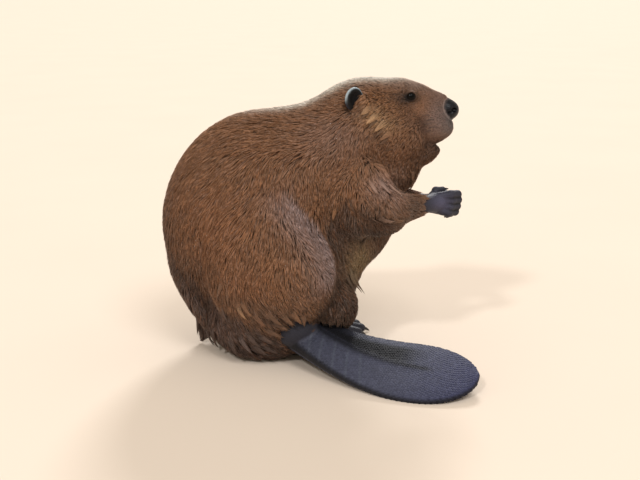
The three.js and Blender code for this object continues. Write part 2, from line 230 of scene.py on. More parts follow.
def fleshField(p, deep):
    # deep 0 is the tips of the coat, 1 the skin; deep may be one number or one per point
    mirror = folded(p)
    total = None
    for name, group in form.items():
        where = foldedArm(p) if name == "arms" else mirror if group["paired"] else p
        here = None
        for kind, size, depth, soft in group["parts"]:
            part = fieldOf[kind](where, size) + depth * deep
            here = part if here is None else softMin(here, part, soft)
        total = here if total is None else softMin(total, here, group["soft"])
    return creased(mirror, total, deep)


# The boxes that the smaller parts' fields are worked out in: low x, y, z, then high x, y, z.
boxes = {
    "hand": (220, -70, 190, 310, 5, 250), "handColour": (236, -62, 195, 312, 0, 250),
    "fingers": (262, -62, 195, 312, 0, 250), "handCoat": (250, -70, 190, 310, 5, 250),
    "foot": (20, -105, -20, 185, 5, 50), "ear": (125, -85, 335, 175, -20, 400),
    "nose": (252, -24, 325, 312, 5, 372), "lips": (210, -50, 290, 300, 5, 312),
    "tailRoot": (20, -125, 15, 110, -40, 100), "paddle": (40, -245, -20, 325, -20, 95),
}


def near(p, box, field, away=1e3):
    # works out a field only inside a box, and takes it as far away elsewhere
    inside = ((p > boxes[box][:3]) & (p < boxes[box][3:])).all(1)
    out = np.full(len(p), away)
    if inside.any():
        out[inside] = field(p[inside])
    return out


# Hands and feet
hand = {
    "palm": (267, -30, 221, 19, 10, 14),
    "wrist": (246, -43, 221, 12.5, 266, -33, 221, 11),
    "fingers": [(11.5, 3), (4.2, 5), (-4.2, 2), (-12, -4)],  # height of each, and its reach
    "web": 0.9,
    "pale": (271, -42, 222, 17, 16, 14),  # where it is paler, and how far that reaches
}


def fingerPaths():
    # four fingers bent over into a fist, then the thumb
    x, y, z = hand["palm"][:3]
    paths = []
    for height, reach in hand["fingers"]:
        paths.append([
            (x + 2, y - 3, z + height * 0.8, 6.4),
            (x + 16 + reach * 0.4, y - 5, z + height * 1.04, 6.6),
            (x + 26 + reach * 0.4, y + 3, z + height * 1.04 - 1, 6.0),
            (x + 20 + reach * 0.3, y + 12, z + height * 1.04 - 2, 4.6),
        ])
    paths.append([(x - 8, y + 3, z + 8, 5.4), (x - 2, y + 10, z + 15, 5.0), (x + 8, y + 14, z + 16, 4.0)])
    return paths


def fingerGap(p):
    # how much nearer a point is to one finger than to the next: nought midway between them
    away = np.sort([chainField(p, path, 1.5) for path in fingerPaths()[:4]], 0)
    return away[1] - away[0]


def handField(p):
    # palm and wrist, with each finger and its knuckle joined on
    total = softMin(ballField(p, hand["palm"]), limbField(p, hand["wrist"]), 8)
    for path in fingerPaths():
        knuckle = ballField(p, (*path[1][:3], 6.0, 6.0, 5.4))
        total = softMin(total, softMin(chainField(p, path, 1.5), knuckle, 2), hand["web"])
    return total


foot = {
    "instep": (48, -20, 16, 17, 108, -34, 15, 16),
    "toes": [(-12, 142), (-28, 158), (-46, 164), (-64, 157), (-80, 140)],  # side, reach
    "web": (124, -44, 6.5, 42, 40, 5),
}


def toePaths():
    # each toe runs from the instep to its reach, a little arched in the middle
    paths = []
    for side, reach in foot["toes"]:
        root = np.array([104, -34 + (side + 46) * 0.5, 12, 9.5])
        tip = np.array([reach, side, 6.8, 6.6])
        middle = root * 0.45 + tip * 0.55 + np.array([0, 0, 2.5, 0.6])
        paths.append([tuple(root), tuple(middle), tuple(tip)])
    return paths


def footField(p):
    # an instep with five toes and the web between them
    total = limbField(p, foot["instep"])
    for path in toePaths():
        total = softMin(total, chainField(p, path, 3), 5)
    return softMin(total, ballField(p, foot["web"]), 5)


# Ears, eyes, nose and mouth
ear = {
    "at": (147, -49, 368), "radii": (5.5, 14, 16), "yaw": -58, "lean": -12,
    "cup": (7.4, 11.6, 13.4), "cupShift": (8.4, 0, 1.0),
}
eye = {
    "at": (225, -25, 368), "radius": 8.0, "look": (0.2, -0.93, 0.26),
    "swell": 0.05, "swellAngle": 0.6, "rows": 33, "columns": 48,
    "lid": 9.4, "open": (5.4, 5.6, 7.2), "openOut": 8.4,  # the lids' opening, and how far out it is centred
}
nose = {
    "pad": (278, 0, 347, 18, 15.5, 15),
    "nostril": [(288, -12.5, 348.5, 4.4, 5.0, 3.2), (282, -15.5, 345.5, 4.0, 3.4, 1.3)],
    "groove": (297, 0, 340, 5, 0.9, 10),
}
faceFrom = {"ahead": 200, "above": 270}  # where the face's relief is worked out
mouth = {"line": [(268, -14, 301, 1.6), (254, -25, 299, 1.6), (240, -32, 301, 1.0)]}


def earField(p):
    # a leaning shell with a cup taken out of its front
    axes = turned(yaw=ear["yaw"], roll=ear["lean"])
    shell = ballField(p, (*ear["at"], *ear["radii"]), axes)
    shift = axes @ np.array(ear["cupShift"])
    cup = ballField(p, (*(np.array(ear["at"]) + shift), *ear["cup"]), axes)
    return softMax(shell, -cup, 1.2)


# How far points are from the nose's pad, an ear and the paddle; 9 outside their boxes.
def noseGap(q):
    return near(q, "nose", lambda x: ballField(x, nose["pad"]), 9)


def earGap(q):
    return near(q, "ear", earField, 9)


def withFace(p, skin):
    # the face's own relief, cut into or added to the skin field
    q = folded(p)
    out = unit(np.array(eye["look"]))
    lid = ballField(q, (*eye["at"], *([eye["lid"]] * 3)))
    skin = softMin(skin, lid, 4)
    ahead = unit(np.cross(out, (0, 0, 1)))
    axes = np.stack([out, ahead, np.cross(ahead, out)], 1)
    depth, high, wide = eye["open"]
    slit = ballField(q, (*(np.array(eye["at"]) + eye["openOut"] * out), depth, wide, high), axes)
    skin = softMax(skin, -slit, 0.8)
    skin = softMin(skin, ballField(q, nose["pad"]), 5)
    for hole in nose["nostril"]:
        skin = softMax(skin, -ballField(q, hole), 1.2)
    skin = softMax(skin, -ballField(q, nose["groove"]), 1.0)
    return softMax(skin, -chainField(q, mouth["line"], 1), 1.6)


# The tail's paddle
paddle = {
    "root": (70, -63, 43), "bend": (187, -163, 7.5), "tip": (311, -177, 21),
    "roll": 15, "halfWidth": 60.5, "halfRoot": 32,
    "edge": 2.6, "dome": 7.5, "rootHeight": 19, "keel": 1.2, "keelWidth": 9,
    "flatter": 0.55,  # the underside's depth, to the top's height
    "length": 290, "hundredths": 5.4,  # along its curve, and two hundredths of its blade
    "heading": (0.76, -0.62, -0.18),
    "bareRoot": (66, -84, 55, 34, 27, 28, 0),  # the bare swelling between the coat and the blade
    "collar": (66, -98, 58, 30, 36, 33),
}


def spineAt(t):
    # the paddle's middle line, and the ways along it, across it and above it
    a, b, c = (np.array(paddle[k], float) for k in ("root", "bend", "tip"))
    t = np.asarray(t, float)[:, None]  # a quadratic curve: (1-t)^2 root + 2t(1-t) bend + t^2 tip
    place = (1 - t) ** 2 * a + 2 * t * (1 - t) * b + t * t * c
    along = unit((1 - t) * (b - a) + t * (c - b))
    side = unit(np.stack([-along[:, 1], along[:, 0], np.zeros(len(along))], 1))
    up = np.cross(along, side)
    roll = math.radians(paddle["roll"])
    across = side * math.cos(roll) + up * math.sin(roll)
    above = up * math.cos(roll) - side * math.sin(roll)
    return place, along, across, above


def paddleHalf(t):
    # half the paddle's width: a leaf, broadest past its middle, and a root that tapers into it
    leaf = np.sqrt(np.clip(np.sin(np.pi * np.clip(t, 0, 1) ** 2), 0, 1))
    return paddle["halfWidth"] * leaf + paddle["halfRoot"] * (1 - np.clip(t, 0, 1)) ** 2


def paddleTop(t, s):
    # height above the paddle's middle: a dome across it, a keel along it, a thick root
    half = np.maximum(paddleHalf(t), 1)
    crown = np.sqrt(np.clip(1 - (s / half) ** 2, 0, 1))
    keel = paddle["keel"] * np.exp(-((s / paddle["keelWidth"]) ** 2)) * smooth(0.8, 0.4, t)
    tall = paddle["dome"] * (1 - 0.65 * t) + paddle["rootHeight"] * np.clip(1 - t, 0, 1) ** 4
    return paddle["edge"] + tall * crown + keel


def paddleSpot(p):
    # where points are on the paddle: t from root to tip, s across, m above, and how far past an end
    steps = np.linspace(0, 1, 41)
    places = spineAt(steps)[0]
    t = steps[((p[:, None] - places[None]) ** 2).sum(-1).argmin(1)]
    for _ in range(2):
        place, along, across, above = spineAt(t)
        t = np.clip(t + ((p - place) * along).sum(1) / paddle["length"], 0, 1)
    place, along, across, above = spineAt(t)
    d = p - place
    return t, (d * across).sum(1), (d * above).sum(1), (d * along).sum(1)


def paddleField(p):
    # a plate between its top and its flatter underside, with a rounded rim and ends
    t, s, m, past = paddleSpot(p)
    half = paddleHalf(t)
    widening = paddleHalf(np.clip(t + 0.01, 0, 1)) - paddleHalf(np.clip(t - 0.01, 0, 1))
    slope = widening / paddle["hundredths"]
    rim = (np.abs(s) - half + 2) / np.sqrt(1 + np.minimum(slope**2, 9))
    top = paddleTop(t, s)
    plate = softMax(m - top, -m - paddle["flatter"] * top - 1, 3)
    return softMax(softMax(plate, rim, 5), np.abs(past) - 2, 2)


def paddleGap(p):
    return near(p, "paddle", paddleField, 9)


def alongTail(p):
    # how far points lie beyond the paddle's root, towards its tip
    return (p - np.array(paddle["root"])) @ np.array(paddle["heading"])


def collarAt(p):
    # 1 where the tail's muscular root comes bare out of the coat, with a ragged edge
    ragged = 0.1 * np.sin(p[:, 0] * 0.5) + 0.08 * np.sin(p[:, 2] * 0.7)
    size = np.linalg.norm((p - np.array(paddle["collar"][:3])) / np.array(paddle["collar"][3:]), axis=1)
    return smooth(1.04, 0.96, size + ragged)


def skinField(p):
    # the whole skin: the form less its coat, joined to every bare part
    skin = fleshField(p, 1.0)
    skin = softMin(skin, near(p, "tailRoot", lambda x: ballField(x, paddle["bareRoot"])), 6)
    q = folded(p)
    skin = softMin(skin, near(foldedArm(p), "hand", handField), 3)
    skin = softMin(skin, near(q, "foot", footField), 8)
    skin = softMin(skin, near(q, "ear", earField), 4)
    skin = softMin(skin, near(p, "paddle", paddleField), 5)
    face = (p[:, 0] > faceFrom["ahead"]) & (p[:, 2] > faceFrom["above"])
    if face.any():
        skin[face] = withFace(p[face], skin[face])
    return np.maximum(skin, 0.4 - p[:, 2])  # the floor flattens what rests on it


def slopeOf(field, p, width=0.6):
    # the field's outward direction, by small steps along each axis
    out = np.empty_like(p)
    for axis in range(3):
        step = np.zeros(3)
        step[axis] = width
        out[:, axis] = field(p + step) - field(p - step)
    return unit(out)


# The skin: a net of quads where the field changes sign
skinNet = {
    "step": 1.7, "block": 4, "low": (-130, -235, -4), "high": (322, 145, 400),
    "faces": 150000,  # triangles aimed at when it is thinned, before the face is made finer
    # balls of x, y, z and radius: what stays at full detail, and where faces are split once and twice
    "whole": [(*eye["at"], 24), (280, 0, 335, 42), (*ear["at"], 26)],
    "fine": [(*eye["at"], 15), (290, 0, 348, 19)],
    "finest": [(226, -31, 370, 9.5), (294, -5, 349, 11)],
}


def surfaceNet(field, low, high, step, block):
    # one vertex in each cell that the surface crosses, at the mean of its edge crossings,
    # and one quad across each lattice edge whose ends have opposite signs
    low = np.array(low, float)
    cells = np.ceil((np.array(high) - low) / (step * block)).astype(int)
    count = cells * block
    coarse = [low[a] + np.arange(cells[a] + 1) * step * block for a in range(3)]
    lattice = np.stack(np.meshgrid(*coarse, indexing="ij"), -1)
    rough = field(lattice.reshape(-1, 3)).reshape(lattice.shape[:3])
    corners = [rough[i:i + cells[0], j:j + cells[1], k:k + cells[2]]
               for i in (0, 1) for j in (0, 1) for k in (0, 1)]
    closest = np.min(np.abs(corners), axis=0)
    values = np.repeat(np.repeat(np.repeat(corners[0], block, 0), block, 1), block, 2).astype(np.float32)
    ci, cj, ck = np.nonzero(closest < step * block * 1.5)
    inner = np.stack(np.meshgrid(*[np.arange(block)] * 3, indexing="ij"), -1).reshape(-1, 3)
    index = (np.stack([ci, cj, ck], 1)[:, None] * block + inner[None]).reshape(-1, 3)
    fine = np.concatenate([field(low + part * step) for part in np.array_split(index, 8)])
    values[index[:, 0], index[:, 1], index[:, 2]] = fine
    inside = values < 0
    n = count - 1
    both = [inside[i:i + n[0], j:j + n[1], k:k + n[2]] for i in (0, 1) for j in (0, 1) for k in (0, 1)]
    total = np.sum(both, axis=0, dtype=np.int8)
    cell = np.stack(np.nonzero((total > 0) & (total < 8)), 1)
    number = np.full(n, -1, np.int64)
    number[cell[:, 0], cell[:, 1], cell[:, 2]] = np.arange(len(cell))
    offsets = np.array([(i, j, k) for i in (0, 1) for j in (0, 1) for k in (0, 1)])
    at = cell[:, None] + offsets[None]
    corner = values[at[..., 0], at[..., 1], at[..., 2]].astype(float)
    edges = [(a, b) for a in range(8) for b in range(a + 1, 8) if np.abs(offsets[a] - offsets[b]).sum() == 1]
    place = np.zeros((len(cell), 3))
    hits = np.zeros(len(cell))
    for a, b in edges:
        cross = (corner[:, a] < 0) != (corner[:, b] < 0)
        t = np.where(cross, corner[:, a] / np.where(cross, corner[:, a] - corner[:, b], 1), 0)
        place += np.where(cross[:, None], offsets[a] + t[:, None] * (offsets[b] - offsets[a]), 0)
        hits += cross
    verts = low + (cell + place / hits[:, None]) * step
    quads = []
    for axis in range(3):
        u, v = (axis + 1) % 3, (axis + 2) % 3
        lowSide = [slice(1, n[a]) for a in range(3)]
        lowSide[axis] = slice(0, n[axis])
        highSide = list(lowSide)
        highSide[axis] = slice(1, n[axis] + 1)
        first, second = inside[tuple(lowSide)], inside[tuple(highSide)]
        spot = np.stack(np.nonzero(first != second), 1)
        start = np.array([s.start for s in lowSide])
        spot = spot + start
        flip = first[tuple((spot - start).T)]
        ring = []
        for du, dv in ((0, 0), (1, 0), (1, 1), (0, 1)):
            c = spot.copy()
            c[:, u] -= 1 - du
            c[:, v] -= 1 - dv
            ring.append(number[c[:, 0], c[:, 1], c[:, 2]])
        ring = np.stack(ring, 1)
        ring[~flip] = ring[~flip][:, ::-1]
        quads.append(ring[(ring >= 0).all(1)])
    return verts, np.concatenate(quads)


def settle(field, verts):
    # moves points along the slope by their distance from the surface
    return verts - np.clip(field(verts), -1.5, 1.5)[:, None] * slopeOf(field, verts)


def meshFrom(name, verts, faces, smooth=True):
    # puts millimetre points and equal-sided faces into a mesh, in metres
    mesh = bpy.data.meshes.new(name)
    size = faces.shape[1]
    mesh.vertices.add(len(verts))
    mesh.vertices.foreach_set("co", (verts * metre).astype(np.float32).ravel())
    mesh.loops.add(faces.size)
    mesh.loops.foreach_set("vertex_index", faces.astype(np.int32).ravel())
    mesh.polygons.add(len(faces))
    mesh.polygons.foreach_set("loop_start", np.arange(0, faces.size, size, dtype=np.int32))
    mesh.polygons.foreach_set("loop_total", np.full(len(faces), size, np.int32))
    mesh.update(calc_edges=True)
    mesh.polygons.foreach_set("use_smooth", np.full(len(faces), smooth))
    piece = bpy.data.objects.new(name, mesh)
    bpy.context.scene.collection.objects.link(piece)
    return piece


def pointsOf(mesh):
    # a mesh's points, in millimetres
    verts = np.empty(len(mesh.vertices) * 3, np.float32)
    mesh.vertices.foreach_get("co", verts)
    return verts.reshape(-1, 3).astype(float) / metre


def setNumbers(mesh, name, values):
    # one number for each point, under a name that materials read
    layer = mesh.attributes.new(name, "FLOAT", "POINT")
    layer.data.foreach_set("value", np.asarray(values, np.float32))


def setMarking(mesh, colour):
    # one colour for each point
    layer = mesh.attributes.new("marking", "FLOAT_COLOR", "POINT")
    rgba = np.concatenate([colour, np.ones((len(colour), 1))], 1)
    layer.data.foreach_set("color", rgba.astype(np.float32).ravel())


def copiesOf(faces, count, span):
    # the same faces for each of many alike parts, whose points follow one another
    return (faces[None] + (np.arange(count) * span)[:, None, None]).reshape(-1, 3)


# Where the coat ends: along x at the wrist and toes, and within what heights and distances.
bare = {
    "wrist": (237, 247), "waver": 3, "handAbove": 180, "handBelow": 260,
    "toes": (96, 104), "footBelow": 30, "footSide": -110, "soleBelow": 14, "soleGap": 3,
    "earGap": 1.0, "tailGap": 2.5, "tailFrom": 6,
}


def bareness(p):
    # 1 on the naked skin of hands, feet, ears and tail, 0 under the coat
    q = folded(p)
    hands = smooth(*bare["wrist"], q[:, 0] + bare["waver"] * np.sin(q[:, 2] * 0.7))
    hands = hands * (q[:, 2] < bare["handBelow"]) * (q[:, 2] > bare["handAbove"])
    feet = (q[:, 2] < bare["footBelow"]) * smooth(*bare["toes"], q[:, 0]) * (q[:, 1] > bare["footSide"])
    soles = (q[:, 2] < bare["soleBelow"]) & (limbField(q, foot["instep"]) < bare["soleGap"])
    ears = earGap(q) < bare["earGap"]
    tail = (paddleGap(p) < bare["tailGap"]) & (alongTail(p) > bare["tailFrom"])
    return np.maximum.reduce([hands, feet, soles * 1.0, ears * 1.0, tail * 1.0, collarAt(p)])


def finerWhere(mesh, test):
    # splits the faces whose middle passes the test
    bm = bmesh.new()
    bm.from_mesh(mesh)
    middles = np.array([f.calc_center_median() for f in bm.faces]) / metre
    chosen = test(middles)
    edges = {e for f, yes in zip(bm.faces, chosen) if yes for e in f.edges}
    bmesh.ops.subdivide_edges(bm, edges=list(edges), cuts=1, use_grid_fill=True)
    bmesh.ops.triangulate(bm, faces=[f for f in bm.faces if len(f.verts) > 4])
    bm.to_mesh(mesh)
    bm.free()


def around(spots):
    # a test of whether points lie in any of some balls, on either side
    def test(p):
        q = folded(p)
        return np.any([((q - np.array(s[:3])) ** 2).sum(1) < s[3] ** 2 for s in spots], axis=0)
    return test


def buildSkin():
    verts, quads = surfaceNet(skinField, skinNet["low"], skinNet["high"], skinNet["step"], skinNet["block"])
    verts = settle(skinField, verts)
    report(f"skin net {len(verts)} points")
    piece = meshFrom("skin", verts, quads)
    furred = (bareness(verts) < 0.5) & ~around(skinNet["whole"])(verts)
    group = piece.vertex_groups.new(name="underCoat")
    group.add(np.nonzero(furred)[0].tolist(), 1.0, "REPLACE")
    thin = piece.modifiers.new("thin", "DECIMATE")
    thin.vertex_group = group.name
    thin.ratio = skinNet["faces"] / (len(quads) * 2)
    depsgraph = bpy.context.evaluated_depsgraph_get()
    mesh = bpy.data.meshes.new_from_object(piece.evaluated_get(depsgraph))
    piece.modifiers.clear()
    piece.data = mesh
    mesh.name = "skin"
    report(f"skin thinned to {len(mesh.polygons)} faces")
    for spots in ("fine", "finest"):
        finerWhere(mesh, around(skinNet[spots]))
    verts = settle(skinField, pointsOf(mesh))
    mesh.vertices.foreach_set("co", (verts * metre).astype(np.float32).ravel())
    mesh.update()
    mesh.polygons.foreach_set("use_smooth", np.ones(len(mesh.polygons), bool))
    report(f"skin {len(mesh.polygons)} faces")
    return piece


skin = buildSkin()


# Markings: patches of colour laid over a brown ground, the same on skin and coat; some are painted shade and
# painted highlights
def linear(rgb):
    # from the values of a screen, 0 to 255, to amounts of light
    c = np.array(rgb, float) / 255
    return np.where(c <= 0.04045, c / 12.92, ((c + 0.055) / 1.055) ** 2.4)


# some shades are the colours of painted light: the pale line along the back, the pale highlight on the thigh
# and arm, and the rim, a painted highlight on the ear and tail
shades = {
    "brown": (140, 101, 73), "warm": (160, 112, 72), "orange": (168, 107, 66), "pale": (180, 145, 108),
    "mauve": (152, 130, 124), "paleHighlight": (163, 143, 141), "olive": (188, 162, 122), "tawny": (188, 134, 94),
    "dark": (84, 66, 56), "deep": (60, 45, 38), "dusk": (98, 81, 75), "rimHighlight": (240, 238, 228),
    "muzzle": (144, 126, 122), "lip": (114, 110, 110), "nose": (18, 17, 21), "black": (12, 11, 12),
    "hide": (44, 44, 53), "palm": (84, 82, 104), "rim": (168, 182, 190),
    "tail": (69, 71, 87), "tailDark": (9, 9, 12), "tailTip": (53, 55, 81),
}
markings = [
    # shade, place x, y, z, reach x, y, z, strength
    # painted shade: the rear and the underside darker, darkest near the floor (three rows)
    ("dark", (-105, 0, 70), (50, 150, 90), 0.9),
    ("dark", (-134, 0, 170), (40, 120, 130), 0.85),
    ("deep", (0, -60, 10), (130, 110, 34), 0.8),
    ("orange", (-40, -110, 190), (60, 60, 60), 0.22),
    ("dark", (-55, -100, 128), (50, 60, 36), 0.28),
    ("orange", (10, -125, 125), (40, 50, 26), 0.2),
    ("dark", (-4, -120, 100), (34, 40, 14), 0.45),
    ("dark", (36, -118, 76), (38, 40, 20), 0.85),
    # painted highlights: the pale mauve sheen on the flank, shoulder and arm (four rows)
    ("mauve", (58, -100, 240), (20, 46, 34), 0.2),
    ("paleHighlight", (188, -100, 256), (22, 50, 18), 0.5),
    ("mauve", (206, -90, 238), (12, 40, 18), 0.25),
    ("mauve", (120, -75, 318), (46, 60, 30), 0.35),
    # painted rim light: these four rows lay a pale line along the top of the back, the crown and the brow
    ("rimHighlight", (50, 0, 358), (110, 18, 13), 0.75),
    ("rimHighlight", (120, 0, 380), (50, 20, 15), 0.85),
    ("rimHighlight", (186, 0, 398), (66, 19, 16), 1.0),
    ("pale", (240, 0, 384), (30, 22, 10), 0.5),
    # painted shade under the arm and in the elbow's crease (five rows)
    ("dark", (165, -100, 222), (20, 60, 16), 0.75),
    ("deep", (150, -90, 190), (40, 60, 18), 0.55),
    ("deep", (196, -104, 200), (40, 60, 13), 0.8),
    ("deep", (185, -80, 186), (44, 60, 9), 0.8),
    ("dark", (200, -96, 222), (24, 50, 16), 0.5),
    ("dark", (232, -70, 222), (22, 40, 24), 0.9),
    ("olive", (157, -54, 138), (17, 50, 30), 0.85),
    ("deep", (140, -70, 84), (40, 60, 26), 0.3),
    ("dark", (136, -60, 80), (40, 60, 46), 0.75),
    # painted highlight on the forearm
    ("mauve", (212, -60, 252), (14, 40, 22), 0.3),
    # painted shade under the chin
    ("deep", (235, 0, 260), (22, 60, 26), 0.62),
    ("warm", (184, -50, 368), (36, 26, 22), 0.5),
    ("pale", (172, -60, 348), (20, 26, 13), 0.65),
    ("pale", (190, -60, 333), (19, 26, 11), 0.6),
    ("dark", (178, -70, 318), (18, 30, 6), 0.45),
    ("muzzle", (268, 0, 342), (34, 60, 32), 0.95),
    ("muzzle", (236, 0, 384), (34, 40, 12), 0.6),
    ("lip", (288, -24, 332), (17, 46, 24), 0.85),
    ("tawny", (241, -46, 358), (13, 28, 17), 0.6),
    # painted shade above and behind the eye; then the lids' black skin, spread wide as painted shade round
    # the eye
    ("dark", (210, -36, 368), (20, 16, 9), 0.75),
    ("black", (224, -32, 368), (13, 14, 8.5), 1.0),
    ("black", (224, -32, 368), (9, 14, 6.5), 1.0),
    # painted shade under the jaw
    ("deep", (255, 0, 288), (44, 50, 15), 0.75),
    ("deep", (262, 0, 302), (24, 40, 5), 0.9),
    ("deep", (272, 0, 296), (18, 40, 9), 0.5),
    ("deep", (284, 0, 370), (20, 5, 8), 0.7),
    ("dark", (152, -56, 352), (14, 26, 8), 0.6),
]
# Lines seen from the side, x and z from top to bottom, that part one ground colour from another.
borders = {
    "thigh": [(50, 262)] + [(x, z) for x, _, z, _ in folds["thigh"]] + [(104, 88)],
    "belly": [(x, z) for x, _, z, _ in folds["flank"]]
             + [(113, 176), (122, 156), (124, 134), (117, 108), (104, 88)],
    "arm": [(124, 268)] + [(x, z) for x, _, z, _ in folds["elbow"]] + [(228, 198)],
    "hem": [(-134, 172), (-126, 158), (-112, 138), (-84, 124), (-51, 90), (-18, 80), (10, 66),
            (36, 49), (56, 35)],
}


def besideOf(path, q):
    # distance from a line in the side view, positive above and ahead of it
    x, z = q[:, 0], q[:, 2]
    out = np.full(len(q), 1e3)
    for (ax, az), (bx, bz) in zip(path, path[1:]):
        dx, dz = bx - ax, bz - az
        t = np.clip(((x - ax) * dx + (z - az) * dz) / (dx * dx + dz * dz), 0, 1)
        ox, oz = x - ax - t * dx, z - az - t * dz
        away = np.hypot(ox, oz)
        out = np.where(away < np.abs(out), away * np.sign(dx * oz - dz * ox), out)
    return out


def grounds(q):
    # the coat's broad grounds, each a shade and weight: painted shade over the belly below the flank and arm
    # creases, a duskier low rump, and a painted highlight along the thigh's front
    x, y, z = q.T
    belly = smooth(-2, 2, besideOf(borders["belly"], q)) * smooth(2, -2, besideOf(borders["arm"], q))
    belly = belly * smooth(232, 214, x)
    ragged = 4 * np.sin(x * 0.33 + 0.1 * z) + 2.5 * np.sin(x * 0.9 - 0.2 * z)
    hem = smooth(5, -7, besideOf(borders["hem"], q) + ragged) * smooth(70, 40, x)
    thigh = besideOf(borders["thigh"], q)
    thigh = smooth(0.5, -2, thigh) * np.exp(-((thigh / 27) ** 2)) * smooth(258, 225, z)
    thigh = thigh * smooth(96, 138, z) * smooth(-55, -75, y)
    return (("dark", 0.8 * belly), ("dusk", 0.95 * hem), ("paleHighlight", thigh))


def plain(p, shade):
    # one shade for all points
    return np.tile(linear(shades[shade]), (len(p), 1))


def markingAt(p):
    # brown, then the grounds, then each marking, which fades as a bell about its middle
    q = folded(p)
    colour = plain(p, "brown")
    for shade, weight in grounds(q):
        colour = blendTo(colour, shade, weight)
    for shade, at, reach, strength in markings:
        weight = strength * np.exp(-(((q - np.array(at)) / np.array(reach)) ** 2).sum(1))
        colour = blendTo(colour, shade, weight)
    return colour


def blendTo(colour, shade, weight):
    # moves a colour towards a named shade or another colour by a weight from 0 to 1
    goal = linear(shades[shade]) if isinstance(shade, str) else shade
    return colour + np.asarray(weight, float)[:, None] * (goal - colour)


def hideColour(p):
    # the colours of naked skin, from the part that each point belongs to
    q = folded(p)
    colour = plain(p, "hide")
    inEar = earGap(q) < 1.2
    axes = turned(yaw=ear["yaw"], roll=ear["lean"])
    local = ((q - np.array(ear["at"])) @ axes) / np.array(ear["radii"])
    rim = smooth(0.84, 0.97, np.sqrt(local[:, 1] ** 2 + local[:, 2] ** 2))
    # painted highlight: the ear's rim is paler towards its top
    lit = blendTo(colour, "rim", 0.8 * smooth(-0.3, 0.5, local[:, 2] - 0.4 * local[:, 1]))
    inside = blendTo(plain(p, "black"), lit, rim)
    behind = blendTo(plain(p, "dark"), lit, rim)
    colour = np.where(inEar[:, None], np.where((local[:, 0] > -0.2)[:, None], inside, behind), colour)
    colour = np.where((noseGap(q) < 1.6)[:, None], linear(shades["nose"]), colour)
    level = foldedArm(p)
    onHand = smooth(2.5, 0.5, near(level, "handColour", handField, 9))
    fromPalm = (level - np.array(hand["pale"][:3])) / hand["pale"][3:]
    colour = blendTo(colour, "palm", 0.65 * onHand * np.exp(-(fromPalm**2).sum(1)))
    # painted shade: black in the gaps between the fingers
    between = near(level, "fingers", fingerGap, 9)
    between = 0.75 * onHand * smooth(2.2, 0.3, between) * smooth(272, 290, level[:, 0])
    colour = blendTo(colour, "black", between)
    gap = near(q, "lips", lambda x: chainField(x, mouth["line"], 1), 9)
    return blendTo(colour, "black", smooth(2.5, 0.5, gap))


# strengths of the tail's marks: the pale lines and the far rim are painted highlights; the shadow, stripe,
# edges and fold are painted shade
tailMarks = {
    "lines": (0.1, 0.16, 0.23, 0.3, 0.37), "slant": 0.0016, "lineWidth": 0.005, "line": 0.05,
    "shadow": 0.95, "stripe": 0.85, "edge": 0.85, "farEdge": 0.6, "farRim": 0.7,
    "foldAt": 0.035, "foldWidth": 0.012, "fold": 0.8,
}


def tailColour(p):
    # darker towards the root; painted shade beyond the keel, in a dark stripe along it and on the dark edges
    t, s, m, _ = paddleSpot(p)
    half = np.maximum(paddleHalf(t), 1)
    colour = blendTo(plain(p, "tailDark"), "tail", 0.6 + 0.4 * smooth(0, 0.5, t))
    colour = blendTo(colour, "tailTip", smooth(0.5, 1.0, t))
    # painted highlights:
    for start in tailMarks["lines"]:  # faint pale lines across the near half of the root
        line = (t - start + tailMarks["slant"] * s) / tailMarks["lineWidth"]
        colour = blendTo(colour, "rim", tailMarks["line"] * (np.exp(-(line**2)) * smooth(2, -4, s)))
    # painted shade beyond the keel near the root, in a stripe along the keel and on the edges
    farSide = smooth(0.15, 0.4, t) * smooth(-26, -13, s - half)
    shadow = smooth(0.74, 0.52, t) * smooth(2, 11, s + 4 * t) * (1 - farSide)
    shadow = shadow * tailMarks["shadow"]
    stripe = smooth(0.78, 0.7, t) * np.exp(-(((s - 3) / (10 - 7 * t)) ** 2)) * tailMarks["stripe"]
    edge = smooth(-6.5, -2.0, np.abs(s) - half) * tailMarks["edge"]
    edge = np.where(s < 0, edge, edge * tailMarks["farEdge"])
    colour = blendTo(colour, "tailDark", np.maximum.reduce([shadow, stripe, edge]) * (m > -2))
    # painted highlight: a pale rim along the far edge
    far = smooth(-3.6, -1.2, s - half) * smooth(0.3, 0.45, t) * smooth(1.0, 0.9, t)
    colour = blendTo(colour, "rim", tailMarks["farRim"] * far)
    # painted shade: a dark fold where the root leaves the coat
    fold = np.exp(-(((t - tailMarks["foldAt"]) / tailMarks["foldWidth"]) ** 2))
    return blendTo(colour, "black", tailMarks["fold"] * fold)


def onTail(p):
    # 1 on the paddle and a little way round it, beyond its root
    return smooth(3.5, 1.5, paddleGap(p)) * smooth(-2, 6, alongTail(p))


def dressSkin(piece):
    # the coat's colour under the coat, the naked skin's where it is bare, the tail's on the tail
    p = pointsOf(piece.data)
    tail = onTail(p)
    noseNear = noseGap(folded(p))
    naked = np.maximum(bareness(p), smooth(1.7, 0.8, noseNear))
    colour = blendTo(markingAt(p), hideColour(p), naked)
    colour[tail > 0] = blendTo(colour[tail > 0], tailColour(p[tail > 0]), tail[tail > 0])
    setMarking(piece.data, colour)
    setNumbers(piece.data, "bare", np.maximum(naked, tail))
    setNumbers(piece.data, "wet", smooth(1.4, 0.5, noseNear))


dressSkin(skin)


